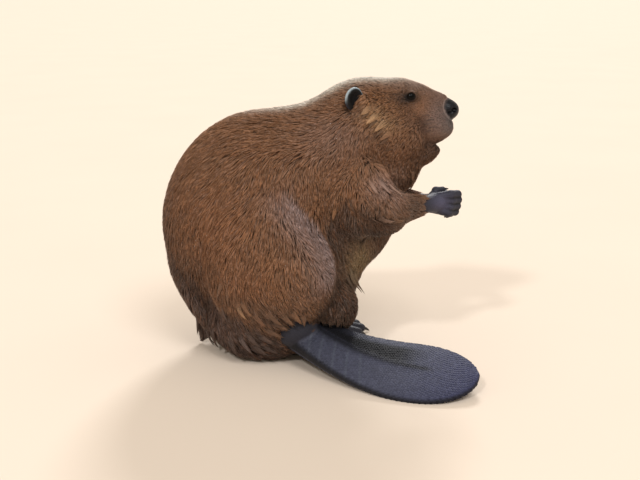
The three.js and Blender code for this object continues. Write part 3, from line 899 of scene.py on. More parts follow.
# The lie of the coat: place, reach, the way it points, length, how far it gathers into locks
lie = [
    (279, -8, 366, 9, -1, -0.1, 0.1, 3.5, 0.1), (254, -27, 352, 12, -1, -0.2, -0.2, 4.5, 0.15),
    (266, -26, 334, 10, -0.9, -0.2, -0.4, 4, 0.2), (266, -24, 312, 9, -0.7, -0.2, -0.7, 4, 0.2),
    (259, -12, 290, 10, -0.8, -0.1, -0.6, 6, 0.3), (211, -18, 384, 13, -1, 0, 0.05, 7, 0.25),
    (170, -10, 388, 15, -1, 0, -0.1, 11, 0.4), (224, -31, 354, 9, -0.9, -0.1, -0.45, 4.5, 0.2),
    (222, -20, 380, 9, -1, -0.1, 0.15, 5, 0.2), (200, -42, 366, 10, -1, -0.15, -0.2, 7, 0.3),
    (189, -58, 326, 14, -0.75, -0.2, -0.65, 18, 0.4), (170, -58, 346, 12, -0.75, -0.2, -0.65, 18, 0.4),
    (215, -46, 335, 13, -0.85, -0.2, -0.45, 9, 0.3), (150, -46, 350, 9, -0.8, -0.3, -0.5, 12, 0.6),
    (232, -28, 288, 14, -0.75, -0.1, -0.6, 11, 0.5), (200, -50, 295, 16, -0.45, -0.1, -0.85, 17, 0.5),
    (168, -76, 289, 15, -0.12, -0.05, -1, 24, 0.4),
    (235, -10, 258, 16, -0.3, 0, -0.95, 16, 0.5), (120, -20, 368, 22, -0.95, 0, -0.2, 20, 0.4),
    (142, -74, 303, 22, -0.3, -0.1, -0.95, 24, 0.55), (115, -65, 328, 20, -0.7, -0.1, -0.65, 24, 0.5),
    (74, -20, 349, 34, -1, 0, -0.15, 26, 0.35), (7, -40, 333, 34, -0.95, -0.1, -0.4, 28, 0.35),
    (-47, -55, 301, 34, -0.7, -0.1, -0.75, 29, 0.4), (-109, -40, 201, 36, -0.1, 0, -1, 30, 0.45),
    (-95, -60, 140, 34, 0.0, 0, -1, 30, 0.5), (-4, -109, 242, 32, -0.5, 0, -0.9, 29, 0.4),
    (62, -104, 241, 32, -0.25, 0, -1, 28, 0.4), (188, -89, 258, 18, 0.25, -0.1, -1, 22, 0.6),
    (160, -106, 232, 20, 0.15, 0, -1, 23, 0.55), (220, -26, 240, 18, 0.2, -0.2, -1, 17, 0.5),
    (201, -107, 212, 14, 0.7, 0, -0.7, 18, 0.6), (228, -70, 228, 14, 0.9, 0.25, -0.35, 9, 0.4),
    (248, -46, 222, 12, 1, 0.3, -0.05, 5, 0.3), (36, -129, 179, 30, -0.15, 0, -1, 29, 0.45),
    (80, -120, 190, 22, 0.1, 0, -1, 28, 0.5), (92, -130, 150, 20, 0.25, 0, -1, 27, 0.55),
    (75, -134, 108, 22, 0.35, 0, -0.95, 26, 0.6), (-33, -116, 120, 26, 0.1, 0, -1, 30, 0.6),
    (8, -126, 92, 24, 0.5, 0, -0.9, 30, 0.7), (-53, -75, 50, 22, 0.4, -0.2, -0.9, 28, 0.85),
    (26, -109, 36, 20, 0.8, 0, -0.6, 26, 0.85), (64, -110, 64, 18, 0.7, 0, -0.7, 22, 0.85),
    (-74, 0, 22, 20, -0.2, 0, -1, 24, 0.85), (136, -80, 115, 18, 0.25, 0.1, -0.95, 22, 0.5),
    (115, -100, 171, 20, 0.4, 0, -0.95, 26, 0.55), (136, -89, 80, 18, 0.1, 0.1, -1, 20, 0.5),
    (108, -98, 74, 16, 0.2, 0.1, -1, 20, 0.5), (171, -58, 159, 24, 0.15, 0.1, -1, 22, 0.6),
    (155, -99, 196, 18, 0.4, 0.1, -0.9, 22, 0.55), (165, 0, 150, 34, 0.1, 0, -1, 22, 0.5),
    (192, 0, 215, 28, 0.1, 0, -1, 20, 0.5), (95, -50, 36, 16, 0.6, 0, -0.8, 9, 0.4),
    (-115, 0, 190, 40, 0, 0, -1, 30, 0.4), (-95, 0, 70, 30, 0.05, 0, -1, 28, 0.7),
]
lieTable = np.array(lie, float)


def lieAt(p):
    # the rows' mean way, length and gathering, each row weighed by a bell about its place
    q = folded(p)
    score = np.empty((len(p), len(lieTable)), np.float32)
    for i, row in enumerate(lieTable):
        score[:, i] = -((q - row[:3]) ** 2).sum(1) / (2 * row[3] ** 2)
    score = np.exp(score - score.max(1, keepdims=True))
    score /= score.sum(1, keepdims=True)
    mixed = score @ lieTable[:, 4:9]
    flow = mixed[:, :3]
    flow[:, 1] *= np.where(p[:, 1] > 0, -1, 1)
    return flow, mixed[:, 3], mixed[:, 4]


def ripple(p, size, seed):
    # smooth wandering values from -1 to 1, about one wave to each size
    waves = np.random.default_rng(seed)
    total = np.zeros(len(p))
    for _ in range(7):
        way = waves.normal(size=3)
        way *= waves.uniform(0.6, 1.6) * 2 * np.pi / size / np.linalg.norm(way)
        total += np.sin(p @ way + waves.uniform(0, 6.3))
    return total / 3.2


coat = {
    "cover": (5, 10.5),  # layers of hair over the face and over the body
    "thinner": 0.45,  # the share left out close to the floor
    "width": (0.55, 0.046),  # of a tuft with no length, and for each millimetre of it
    "widths": (0.7, 1.85),  # the limits of that
    "jitter": 0.16,
    "waves": [(0.2, 45, 3), (0.1, 14, 4)],  # how the lie wanders: how far, over what size, seed
    "lengthSpread": 0.28,
    "lift": (0.72, 1.0),  # how far up the coat's depth a tuft's tip comes
    "leaders": 8,  # tufts to each lock
    "shares": (0.65, 0.35),  # of a tuft's lightness, its own and its leader's
    "tint": 0.3,  # the most of another shade that a tuft takes
    "rootSink": 0.4,
    "levels": (0, 0.5, 0.84, 1.0),  # heights of a tuft's rings, from skin to tips
    "steps": (0.36, 0.36, 0.28),  # how far each ring lies beyond the one before, in lengths
    "gather": (0.2, 0.55, 0.9),  # how far each ring is pulled to its leader's
    "shortUnder": 17,
    # how near the tufts come to the eye, nose, ear, foot, hand and paddle, and to the floor
    "offEye": 8.4, "offNose": 0.8, "offEar": -0.5, "offFoot": 0, "offHand": -1, "offPaddle": 0,
    "offFloor": 0.6,
}


def sampleRoots(piece):
    # random places on the furred triangles, as many as cover them in layers of tufts
    mesh = piece.data
    p = pointsOf(mesh)
    mesh.calc_loop_triangles()
    tris = np.empty(len(mesh.loop_triangles) * 3, np.int32)
    mesh.loop_triangles.foreach_get("vertices", tris)
    tris = tris.reshape(-1, 3)
    a, b, c = p[tris[:, 0]], p[tris[:, 1]], p[tris[:, 2]]
    area = np.linalg.norm(np.cross(b - a, c - a), axis=1) / 2
    middle = (a + b + c) / 3
    _, length, _ = lieAt(middle)
    wide = widthOf(length)
    low, high = coat["cover"]
    cover = low + (high - low) * smooth(6, 20, length)
    density = cover / (wide * length)
    naked = np.empty(len(mesh.vertices), np.float32)
    mesh.attributes["bare"].data.foreach_get("value", naked)
    density *= (naked[tris].max(1) < 0.5) * (middle[:, 2] > 1.5)
    density *= 1 - coat["thinner"] * smooth(60, 20, middle[:, 2])
    count = rng.poisson(density * area)
    face = np.repeat(np.arange(len(tris)), count)
    r1, r2 = np.sqrt(rng.random(len(face))), rng.random(len(face))
    return (1 - r1)[:, None] * a[face] + (r1 * (1 - r2))[:, None] * b[face] + (r1 * r2)[:, None] * c[face]


def widthOf(length):
    # a tuft's breadth grows with its length
    start, growth = coat["width"]
    return np.clip(start + growth * length, *coat["widths"])


def toLevel(p, deep):
    # moves points to where the body's form, with that much of the coat's depth, has its surface
    value = fleshField(p, deep)
    way = fleshSlope(p, deep, value)
    return p - value[:, None] * way, way


def fleshSlope(p, deep, value, width=0.8):
    # the form's outward direction, by one small step along each axis
    out = np.empty_like(p)
    for axis in range(3):
        moved = p.copy()
        moved[:, axis] += width
        out[:, axis] = fleshField(moved, deep) - value
    return unit(out)


def clearOf(r):
    # whether points stand clear of the bare parts and the floor
    q = folded(r)
    eyeGap = np.linalg.norm((q - np.array(eye["at"]) - (0, -4, 0)) * (0.85, 1, 1.15), axis=1)
    clear = (eyeGap > coat["offEye"]) & (noseGap(q) > coat["offNose"]) & (earGap(q) > coat["offEar"])
    clear &= near(q, "foot", footField, 9) > coat["offFoot"]
    clear &= near(foldedArm(r), "handCoat", handField, 9) > coat["offHand"]
    return clear & (paddleGap(r) > coat["offPaddle"]) & (r[:, 2] > coat["offFloor"])


def growCoat(piece):
    # each tuft climbs from the skin in steps along the lie, then is drawn towards its lock's leader
    roots = sampleRoots(piece)
    _, length, clump = lieAt(roots)
    n = len(roots)
    report(f"coat has {n} roots")
    length = length * (1 + coat["lengthSpread"] * rng.normal(size=n).clip(-1.6, 1.6))
    lift = rng.uniform(*coat["lift"], n)
    here, normal = toLevel(roots, np.ones(n))
    rings, normals = [here - coat["rootSink"] * normal], [normal]
    calm = 0.35 + 0.65 * smooth(10, 26, length)  # the short hair of the face lies straighter
    clump = clump * (0.4 + 0.6 * smooth(0.4, 0.65, clump))
    turn = coat["jitter"] * rng.normal(size=n)
    for far, size, seed in coat["waves"]:
        turn = turn + far * ripple(roots, size, seed)
    turn = calm * turn
    for level, step in zip(coat["levels"][1:], coat["steps"]):
        flow, _, _ = lieAt(here)
        flow -= (flow * normal).sum(1)[:, None] * normal
        flow = unit(flow)
        side = np.cross(normal, flow)
        way = flow * np.cos(turn)[:, None] + side * np.sin(turn)[:, None]
        here, normal = toLevel(here + way * (length * step)[:, None], 1 - level * lift)
        rings.append(here)
        normals.append(normal)
    report("coat laid out")
    leaders = rng.choice(n, max(n // coat["leaders"], 1), replace=False)
    tree = kdtree.KDTree(len(leaders))
    warped = roots + 2.5 * np.stack([ripple(roots, 18, s) for s in (5, 6, 7)], 1)
    for i, leader in enumerate(leaders):
        tree.insert(warped[leader], i)
    tree.balance()
    mine = leaders[np.array([tree.find(w)[1] for w in warped])]
    for k, share in enumerate(coat["gather"], 1):
        rings[k] = rings[k] + (clump * share)[:, None] * (rings[k][mine] - rings[k])
    own, lead = rng.random(n), rng.random(n)[mine]
    strand = coat["shares"][0] * own + coat["shares"][1] * lead
    tint = np.where((rng.random(n) < 0.5)[:, None], linear(shades["mauve"]), linear(shades["orange"]))
    tint = np.concatenate([tint, coat["tint"] * rng.random((n, 1)) ** 2], 1)
    keep = np.all([clearOf(ring) for ring in rings[1:]], axis=0)
    rings = [r[keep] for r in rings]
    normals = [m[keep] for m in normals]
    report(f"coat keeps {keep.sum()} tufts")
    return roots[keep], rings, normals, length[keep], strand[keep], tint[keep]


regions = [
    "head_right", "head_left", "neck", "back", "side_right", "side_left", "rump_right", "rump_left",
    "arm_right", "arm_left", "legs", "belly", "face_right", "face_left",
]


def regionOf(p):
    # which region each root belongs to, so that every piece stays light enough; later tests overrule
    x, y, z = p.T
    tests = {
        "side": np.isfinite(x), "rump": x < 0, "back": (z > 290) & (x < 130), "legs": (z < 120) & (x > 60),
        "belly": (x > 130) & (z < 205) & (z >= 120), "arm": (x > 130) & (z < 262) & (z >= 205),
        "neck": (x > 95) & (z >= 262), "head": (x > 150) & (z > 300 - 0.5 * (x - 150)) & (z > 268),
        "face": (x > 222) & (z > 268),
    }
    out = np.zeros(len(p), int)
    for name, inside in tests.items():
        if name in regions:
            out[inside] = regions.index(name)
        else:
            right, left = regions.index(f"{name}_right"), regions.index(f"{name}_left")
            out[inside] = np.where(y[inside] < 0, right, left)
    return out


def tuftMesh(rings, normals, wide, pick, short):
    # each tuft is a closed blade: three-cornered rings along its path, then a point
    levels = (0, 2, 3) if short else (0, 1, 2, 3)
    path, up = [rings[k][pick] for k in levels], [normals[k][pick] for k in levels]
    wide = wide[pick]
    size = (0.75, 0.9) if short else (0.7, 1.0, 0.72)
    count, last = len(pick), len(path) - 1
    verts = np.empty((count, 3 * last + 1, 3))
    for k in range(last):
        tangent = unit(path[k + 1] - path[max(k - 1, 0)])
        side = unit(np.cross(tangent, up[k]))
        rise = np.cross(side, tangent)
        half = (wide * size[k] / 2)[:, None]
        verts[:, 3 * k] = path[k] - side * half
        verts[:, 3 * k + 1] = path[k] + side * half
        verts[:, 3 * k + 2] = path[k] + rise * half * 0.8
    verts[:, -1] = path[last]
    faces = [(0, 1, 2)]
    for k in range(last - 1):
        for j in range(3):
            a, b = 3 * k + j, 3 * k + (j + 1) % 3
            faces += [(a, a + 3, b + 3), (a, b + 3, b)]
    base = 3 * (last - 1)
    faces += [(base + j, 3 * last, base + (j + 1) % 3) for j in range(3)]
    span = 3 * last + 1
    along = np.tile(np.append(np.repeat(np.linspace(0, 0.75, last), 3), 1.0), count)
    return verts.reshape(-1, 3), copiesOf(np.array(faces), count, span), along, span


def unwrapOf(p, centre):
    # longitude and latitude about the middle of the piece
    d = p - centre
    turn = np.arctan2(d[:, 1], d[:, 0]) / (2 * np.pi) + 0.5
    fall = np.arccos(np.clip(d[:, 2] / np.maximum(np.linalg.norm(d, axis=1), 1e-9), -1, 1)) / np.pi
    return np.stack([turn, fall], 1) * 0.99 + 0.003


# Locks: bunches of hair that run to one point, laid over the coat on both sides
locks = [
    # start x, y, z, way x, y, z, length, breadth, bend, shade, strength, how far the tip stands off
    (174, -52, 362, -0.85, -0.15, -0.6, 27, 11, 0, "pale", 0.3, 1.3),
    (184, -53, 352, -0.85, -0.15, -0.65, 32, 11, 0, "pale", 0.32, 1.5),
    (197, -53, 343, -0.85, -0.15, -0.62, 34, 11, 0, "pale", 0.3, 1.5),
    (205, -54, 328, -0.85, -0.15, -0.5, 32, 10, 0, "warm", 0.25, 1.2),
    # painted shade: dark locks under the cheek tufts and along the cheek
    (172, -52, 355, -0.85, -0.15, -0.6, 26, 5, 0, "deep", 0.8, 0.6),
    (184, -54, 345, -0.85, -0.15, -0.65, 31, 5, 0, "deep", 0.8, 0.6),
    (197, -55, 335, -0.85, -0.15, -0.62, 33, 5, 0, "deep", 0.8, 0.6),
    (202, -55, 319, -0.9, -0.15, -0.45, 28, 5, 0, "deep", 0.7, 0.6),
    (199, -56, 309, -1, -0.1, 0.1, 22, 5, 0.3, "deep", 0.8, 0.6),
    (206, -52, 299, -1, -0.1, 0.1, 18, 5, 0.3, "deep", 0.8, 0.6),
    (182, -46, 374, -1, -0.1, 0.25, 20, 4, 0.3, "deep", 0.6, 0.5),
    # painted highlight: mauve locks on the shoulder
    (164, -90, 272, 0.35, -0.1, -1, 34, 9, 0.1, "mauve", 0.15, 0.6),
    (178, -86, 274, 0.4, -0.1, -1, 38, 9, 0.1, "mauve", 0.12, 0.6),
    (191, -78, 270, 0.45, -0.1, -1, 40, 9, 0.15, "mauve", 0.1, 0.6),
    (204, -62, 268, 0.35, -0.1, -1, 42, 9, 0.1, "warm", 0.15, 0.6),
    (198, -66, 276, 0.1, -0.1, -1, 40, 5, -0.3, "deep", 0.6, 0.5),
    (212, -52, 268, 0.2, -0.1, -1, 40, 5, 0.2, "deep", 0.5, 0.5),
    # painted shade: dark locks round the elbow's crease
    (137, -103, 248, 0.2, 0, -1, 34, 6, 0.5, "deep", 0.95, 0.6),
    (145, -106, 238, 0.3, 0, -1, 36, 6, 0.6, "deep", 0.9, 0.6),
    (150, -108, 220, 0.65, 0, -0.8, 34, 6, 0.4, "deep", 0.95, 0.6),
    (168, -108, 210, 0.9, 0, -0.4, 34, 6, 0.3, "deep", 0.95, 0.6),
    (160, -110, 226, 0.7, 0, -0.7, 34, 6, 0.7, "deep", 0.6, 0.6),
    # painted highlight on the elbow
    (176, -110, 222, 0.8, 0, -0.5, 30, 9, 0.7, "mauve", 0.25, 0.8),
    (192, -106, 216, 0.9, 0.1, -0.3, 28, 8, 0.4, "warm", 0.2, 0.8),
    # painted shade under the elbow
    (152, -110, 232, 0.35, 0, -0.95, 40, 5, 0.9, "deep", 0.6, 0.5),
    (166, -110, 228, 0.5, 0, -0.85, 38, 5, 1.0, "deep", 0.55, 0.5),
    (180, -109, 226, 0.6, 0, -0.8, 32, 5, 1.0, "deep", 0.5, 0.5),
    # painted shade: dark locks in the flank's crease
    (108, -104, 214, 0.1, 0, -1, 34, 5, -0.1, "deep", 0.8, 0.4),
    (116, -102, 220, 0.0, 0, -1, 36, 6, -0.2, "deep", 0.8, 0.4),
    (126, -100, 226, -0.3, 0, -1, 34, 8, 0.2, "warm", 0.4, 1.2),
    # painted shade: dark locks along the belly's side under the arm
    (122, -96, 186, 0.15, 0, -1, 46, 5, 0.1, "deep", 0.7, 0.4),
    (134, -90, 172, 0.1, 0, -1, 46, 5, 0.1, "deep", 0.6, 0.4),
    (180, -70, 180, -0.3, 0, -1, 44, 5, 0.1, "deep", 0.7, 0.4),
    (172, -60, 168, -0.2, 0, -1, 44, 5, 0.1, "deep", 0.6, 0.4),
    (150, -74, 141, 0.2, 0.05, -1, 52, 9, 0.05, "dark", 0.3, 9),
    (154, -60, 137, 0.1, 0.05, -1, 50, 9, 0.1, "dark", 0.35, 12),
    (146, -82, 138, 0.2, 0.1, -1, 46, 7, 0.1, "deep", 0.6, 3),
    # painted shade: dark locks in the thigh's front crease
    (84, -134, 166, 0.1, 0, -1, 42, 5, 0.1, "deep", 0.75, 0.4),
    (88, -132, 152, 0.15, 0, -1, 44, 6, -0.1, "deep", 0.75, 0.4),
    (-27, -118, 138, -0.45, 0, -0.9, 38, 8, 0.1, "dark", 0.6, 1.0),
    (-22, -118, 130, -0.1, 0, -1, 36, 7, 0.3, "dark", 0.5, 1.0),
    (-12, -120, 106, 0.3, 0, -1, 34, 9, 0.6, "pale", 0.4, 1.2),
    (-4, -121, 112, 0.3, 0, -1, 36, 9, 0.6, "warm", 0.35, 1.2),
    (-40, -110, 100, 0.1, 0, -1, 38, 8, 0.4, "dark", 0.5, 1.0),
    (6, -124, 96, 0.55, 0, -0.9, 40, 11, 0.4, "orange", 0.2, 1.5),
    (26, -126, 96, 0.6, 0, -0.8, 40, 11, 0.3, "warm", 0.2, 1.5),
    (44, -128, 94, 0.6, 0, -0.8, 36, 11, 0.2, "brown", 0.3, 1.8),
    (60, -126, 98, 0.5, 0, -0.9, 34, 11, 0.1, "warm", 0.2, 1.8),
    (76, -122, 96, 0.2, 0, -1, 32, 10, 0.0, "dark", 0.4, 1.8),
    (30, -124, 80, 0.8, 0, -0.65, 36, 11, 0.2, "dark", 0.4, 2),
    (20, -120, 66, 0.8, 0, -0.6, 38, 12, 0.2, "dark", 0.45, 2),
    (8, -116, 54, 0.8, 0, -0.6, 38, 12, 0.2, "deep", 0.4, 2.5),
    (-8, -112, 58, 0.6, 0, -0.85, 40, 12, 0.3, "dark", 0.5, 3),
    (-18, -104, 52, 0.5, 0, -0.9, 42, 13, 0.2, "mauve", 0.35, 3.5),
    (-34, -94, 46, 0.45, 0, -0.9, 42, 12, 0.1, "dark", 0.5, 4),
    (0, -110, 36, 0.75, 0, -0.7, 36, 11, 0.1, "dark", 0.4, 4),
    (14, -108, 34, 0.85, 0, -0.6, 36, 10, 0.1, "deep", 0.4, 4),
    (-64, -30, 56, -0.35, 0, -0.95, 48, 12, -0.1, "dark", 0.5, 4),
    (-56, -42, 52, -0.15, 0, -1, 46, 12, 0.1, "deep", 0.4, 4),
    (-76, -16, 62, -0.3, 0, -1, 46, 12, -0.1, "deep", 0.4, 4),
    (-56, -70, 54, -0.1, 0, -1, 44, 13, 0.1, "dark", 0.4, 2.5),
    (128, -98, 116, 0.2, 0.1, -1, 36, 5, -0.1, "deep", 0.7, 0.5),
    (140, -88, 110, 0.15, 0.1, -1, 40, 5, -0.2, "deep", 0.6, 0.5),
    (148, -78, 104, 0.1, 0.1, -1, 40, 5, -0.2, "deep", 0.6, 0.5),
    (116, -100, 100, 0.35, 0.1, -0.9, 34, 6, -0.1, "mauve", 0.35, 0.8),
    # painted shade: dark locks under the chin
    (244, -16, 280, -0.4, 0, -0.9, 20, 9, 0, "deep", 0.4, 3),
    (232, -22, 272, -0.4, 0, -0.9, 24, 10, 0, "deep", 0.3, 3),
    (222, -10, 262, -0.2, 0, -1, 26, 10, 0, "dark", 0.3, 3),
    (255, -33, 344, -1, -0.1, 0.05, 15, 3.4, 0.2, "black", 0.8, 0.3),
    (263, -31, 338, -1, -0.1, 0.0, 18, 3.4, 0.2, "black", 0.85, 0.3),
    (258, -33, 332, -1, -0.1, 0.0, 17, 3.4, 0.2, "black", 0.8, 0.3),
    (267, -30, 327, -1, -0.1, 0.0, 18, 3.4, 0.2, "black", 0.85, 0.3),
    (259, -32, 321, -1, -0.1, 0.0, 16, 3.4, 0.2, "black", 0.75, 0.3),
]
lockHair = {
    "joints": 8,  # lengths that a lock's middle line is walked in
    "deep": 0.6,  # where it starts, from 0 at the coat's tips to 1 at the skin
    "broad": 6, "count": (12, 30),  # hairs in a narrow lock and in one broader than that
    "rings": (0, 0.35, 0.72, 1.0),
    "starts": (0, 0.45),  # where its hairs start, as parts of its length
    "ends": (0.22, 0.05),  # how much sooner they end, at its sides and by chance
    "taper": 0.75, "flatness": 11, "scatter": 0.4,  # how it narrows, how low its arch is, how hairs stray
    "offFloor": 0.8,
    "like": 24.0,  # its hairs are made like the coat's of this length
}


def growLocks():
    # walks each lock's middle line over the coat, then spreads hairs about it that meet at its tip
    table = locks + [(r[0], -r[1], r[2], r[3], -r[4], *r[5:]) for r in locks]
    shade = np.array([linear(shades[row[9]]) for row in table])
    start, way = np.array([row[:3] for row in table], float), np.array([row[3:6] for row in table], float)
    length, breadth, bend = np.array([row[6:9] for row in table], float).T
    strength, proud = np.array([row[10:] for row in table], float).T
    joints, deep = lockHair["joints"], np.full(len(table), lockHair["deep"])
    here, _ = toLevel(start, deep)
    here, normal = toLevel(here, deep)
    line, ups, sides = [here], [normal], []
    for s in np.linspace(0, 1, joints + 1)[1:]:
        flow = unit(way - (way * normal).sum(1)[:, None] * normal)
        side = np.cross(normal, flow)
        turn = (bend * (s - 0.3) * 1.6)[:, None] * np.where(start[:, 1:2] < 0, 1, -1)
        step = flow * np.cos(turn) + side * np.sin(turn)
        sides.append(np.cross(normal, step))
        level = deep * (1 - s) ** 2 - proud / 10 * s**2
        here, normal = toLevel(here + step * (length / joints)[:, None], level)
        line.append(here)
        ups.append(normal)
    sides.append(sides[-1])
    line, ups, sides = np.stack(line, 1), np.stack(ups, 1), np.stack(sides, 1)
    few, many = lockHair["count"]
    each = np.where(breadth > lockHair["broad"], many, few)
    n = each.sum()
    which = np.repeat(np.arange(len(table)), each)
    off = rng.uniform(-1, 1, n)
    begin = rng.uniform(*lockHair["starts"], n)
    atSide, stray = lockHair["ends"]
    end = 1 - atSide * np.abs(off) * rng.random(n) - stray * rng.random(n)
    rings, normals = [], []
    for s in lockHair["rings"]:
        at = (begin + s * (end - begin)) * joints
        k = np.minimum(at.astype(int), joints - 1)
        f = (at - k)[:, None]
        spot = line[which, k] * (1 - f) + line[which, k + 1] * f
        side = sides[which, k]
        spread = breadth[which] / 2 * np.clip(1 - at / joints, 0, 1) ** lockHair["taper"] * off
        up = ups[which, k]
        arch = (1 - off**2) * np.sin(np.pi * np.clip(at / joints, 0, 1))
        arch = arch + rng.uniform(-lockHair["scatter"], lockHair["scatter"], n)
        lifted = arch * breadth[which] / lockHair["flatness"]
        rings.append(spot + side * spread[:, None] + up * lifted[:, None])
        normals.append(up)
    for r in rings:
        r[:, 2] = np.maximum(r[:, 2], lockHair["offFloor"])
    own = rng.random(n)
    strand = 0.7 * own + 0.3 * rng.random(len(table))[which]
    tint = np.concatenate([shade[which], (strength[which] * rng.uniform(0.7, 1, n))[:, None]], 1)
    wide = np.clip(breadth[which] / 8, 0.5, 1.5)
    return rings[0], rings, normals, np.full(n, lockHair["like"]), strand, tint, wide


def buildCoat():
    # one mesh of tufts for each region, the short ones with fewer rings
    base, over = growCoat(skin), growLocks()
    roots, length, strand, tint = (np.concatenate([base[i], over[i]]) for i in (0, 3, 4, 5))
    rings = [np.concatenate(pair) for pair in zip(base[1], over[1])]
    normals = [np.concatenate(pair) for pair in zip(base[2], over[2])]
    wide = widthOf(length)
    wide[len(base[0]):] = over[6]
    region = regionOf(roots)
    isShort = length < coat["shortUnder"]
    pieces = []
    for index, name in enumerate(regions):
        chosen = region == index
        centre = roots[chosen].mean(0)
        parts, start = [], 0
        for short in (True, False):
            pick = np.nonzero(chosen & (isShort == short))[0]
            if not len(pick):
                continue
            verts, faces, along, span = tuftMesh(rings, normals, wide, pick, short)
            spot = np.repeat(unwrapOf(roots[pick], centre), span, 0)
            corner = np.tile(np.arange(span) % 3 / 2, len(pick))
            spot += 0.003 * np.stack([corner, along], 1)
            mix = np.repeat(tint[pick], span, 0)
            weight = mix[:, 3] * (0.55 + 0.45 * along)
            colour = blendTo(markingAt(verts), mix[:, :3], weight)
            parts.append((verts, faces + start, along, np.repeat(strand[pick], span), spot, colour))
            start += len(verts)
        verts, faces, along, hue, spot, colour = (np.concatenate(part) for part in zip(*parts))
        piece = meshFrom(f"coat_{name}", verts, faces)
        setMarking(piece.data, colour)
        setNumbers(piece.data, "along", along)
        setNumbers(piece.data, "strand", hue)
        layer = piece.data.uv_layers.new(name="OFBake")
        layer.data.foreach_set("uv", spot[faces.ravel()].astype(np.float32).ravel())
        pieces.append(piece)
        report(f"{piece.name} {len(faces)} triangles")
    return pieces


coatPieces = buildCoat()


# Tail scales: low six-sided plates in staggered rows over both faces of the paddle
scales = {
    "wide": 4.6, "long": 3.9, "gap": 0.86, "proud": 0.45, "sunk": 0.35, "offFloor": 0.1,
    "from": 0.06, "to": 0.985, "margin": 3.0,  # the stretch of the paddle that they cover, and its bare rim
    "wider": 1.12, "longer": 1.3, "top": 0.78, "base": 1.08,  # a plate's own shape, and its two rings' sizes
    "tilt": 0.12, "sizes": (0.92, 1.05), "lifts": (0.7, 1.2),
}


def buildScales():
    # each plate is two six-sided rings, one raised and one sunk, turned to the surface under it
    spots = []
    for index, row in enumerate(np.arange(0, paddle["length"], scales["long"])):
        t = scales["from"] + (scales["to"] - scales["from"]) * row / paddle["length"]
        half = float(paddleHalf(t)) - scales["margin"]
        if half < 2:
            continue
        s = np.arange(-half + (index % 2) * scales["wide"] / 2, half, scales["wide"])
        spots.append(np.stack([np.full(len(s), t), s], 1))
    spots = np.concatenate(spots)
    t, s = spots[:, 0], spots[:, 1]
    place, along, across, above = spineAt(t)
    faces = [(0, 1, 2), (0, 2, 3), (0, 3, 5), (3, 4, 5)]
    for j in range(6):
        k = (j + 1) % 6
        faces += [(j, 6 + j, 6 + k), (j, 6 + k, k)]
    verts, hues = [], []
    top = paddleTop(t, s)
    for m in (top, -paddle["flatter"] * top - 1):
        p = place + across * s[:, None] + above * m[:, None]
        for _ in range(2):
            way = slopeOf(paddleField, p, 0.8)
            p = p - np.clip(paddleField(p), -4, 4)[:, None] * way
        run = unit(along - (along * way).sum(1)[:, None] * way)
        side = np.cross(way, run)
        n = len(p)
        size = scales["gap"] * rng.uniform(*scales["sizes"], n)
        lift = scales["proud"] * rng.uniform(*scales["lifts"], n)
        sunk = np.full(n, -scales["sunk"])
        plate = []
        for spread, height, tilt in ((scales["top"], lift, scales["tilt"]), (scales["base"], sunk, 0)):
            for j in range(6):
                angle = math.radians(60 * j + 30)
                dx = math.cos(angle) * scales["wide"] / 2 * scales["wider"]
                dy = math.sin(angle) * scales["long"] / 2 * scales["longer"]
                shift = height + tilt * lift * math.sin(angle)
                plate.append(p + side * (dx * spread * size)[:, None] + run * (dy * spread * size)[:, None]
                             + way * shift[:, None])
        verts.append(np.stack(plate, 1))
        hues.append(rng.random(n))
    verts = np.concatenate(verts)
    hues = np.repeat(np.concatenate(hues), 12)
    verts[:, :, 2] = np.maximum(verts[:, :, 2], scales["offFloor"])
    faces = copiesOf(np.array(faces), len(verts), 12)
    verts = verts.reshape(-1, 3)
    piece = meshFrom("tail_scales", verts, faces, smooth=False)
    setMarking(piece.data, tailColour(verts))
    setNumbers(piece.data, "strand", hues)
    report(f"tail_scales {len(faces)} triangles")
    return piece


tailScales = buildScales()


# Eyes and claws
def tubeMesh(paths, sides):
    # closed tubes: rings round each path of (place, radius) rows, capped at both ends
    verts, faces = [], []
    start = 0
    for path in paths:
        path = np.array(path, float)
        place, radius = path[:, :3], path[:, 3]
        tangent = unit(np.gradient(place, axis=0))
        side = unit(np.cross(tangent, (0.13, 0.31, 0.94)))  # any way that no claw runs along
        rise = np.cross(side, tangent)
        angle = np.linspace(0, 2 * np.pi, sides, endpoint=False)
        ring = side[:, None] * np.cos(angle)[None, :, None] + rise[:, None] * np.sin(angle)[None, :, None]
        verts.append((place[:, None] + ring * radius[:, None, None]).reshape(-1, 3))
        n = len(path)
        for k in range(n - 1):
            for j in range(sides):
                a, b = start + k * sides + j, start + k * sides + (j + 1) % sides
                faces += [(a, b, b + sides), (a, b + sides, a + sides)]
        for j in range(1, sides - 1):
            faces.append((start, start + j + 1, start + j))
            end = start + (n - 1) * sides
            faces.append((end, end + j, end + j + 1))
        start += n * sides
    return np.concatenate(verts), np.array(faces)


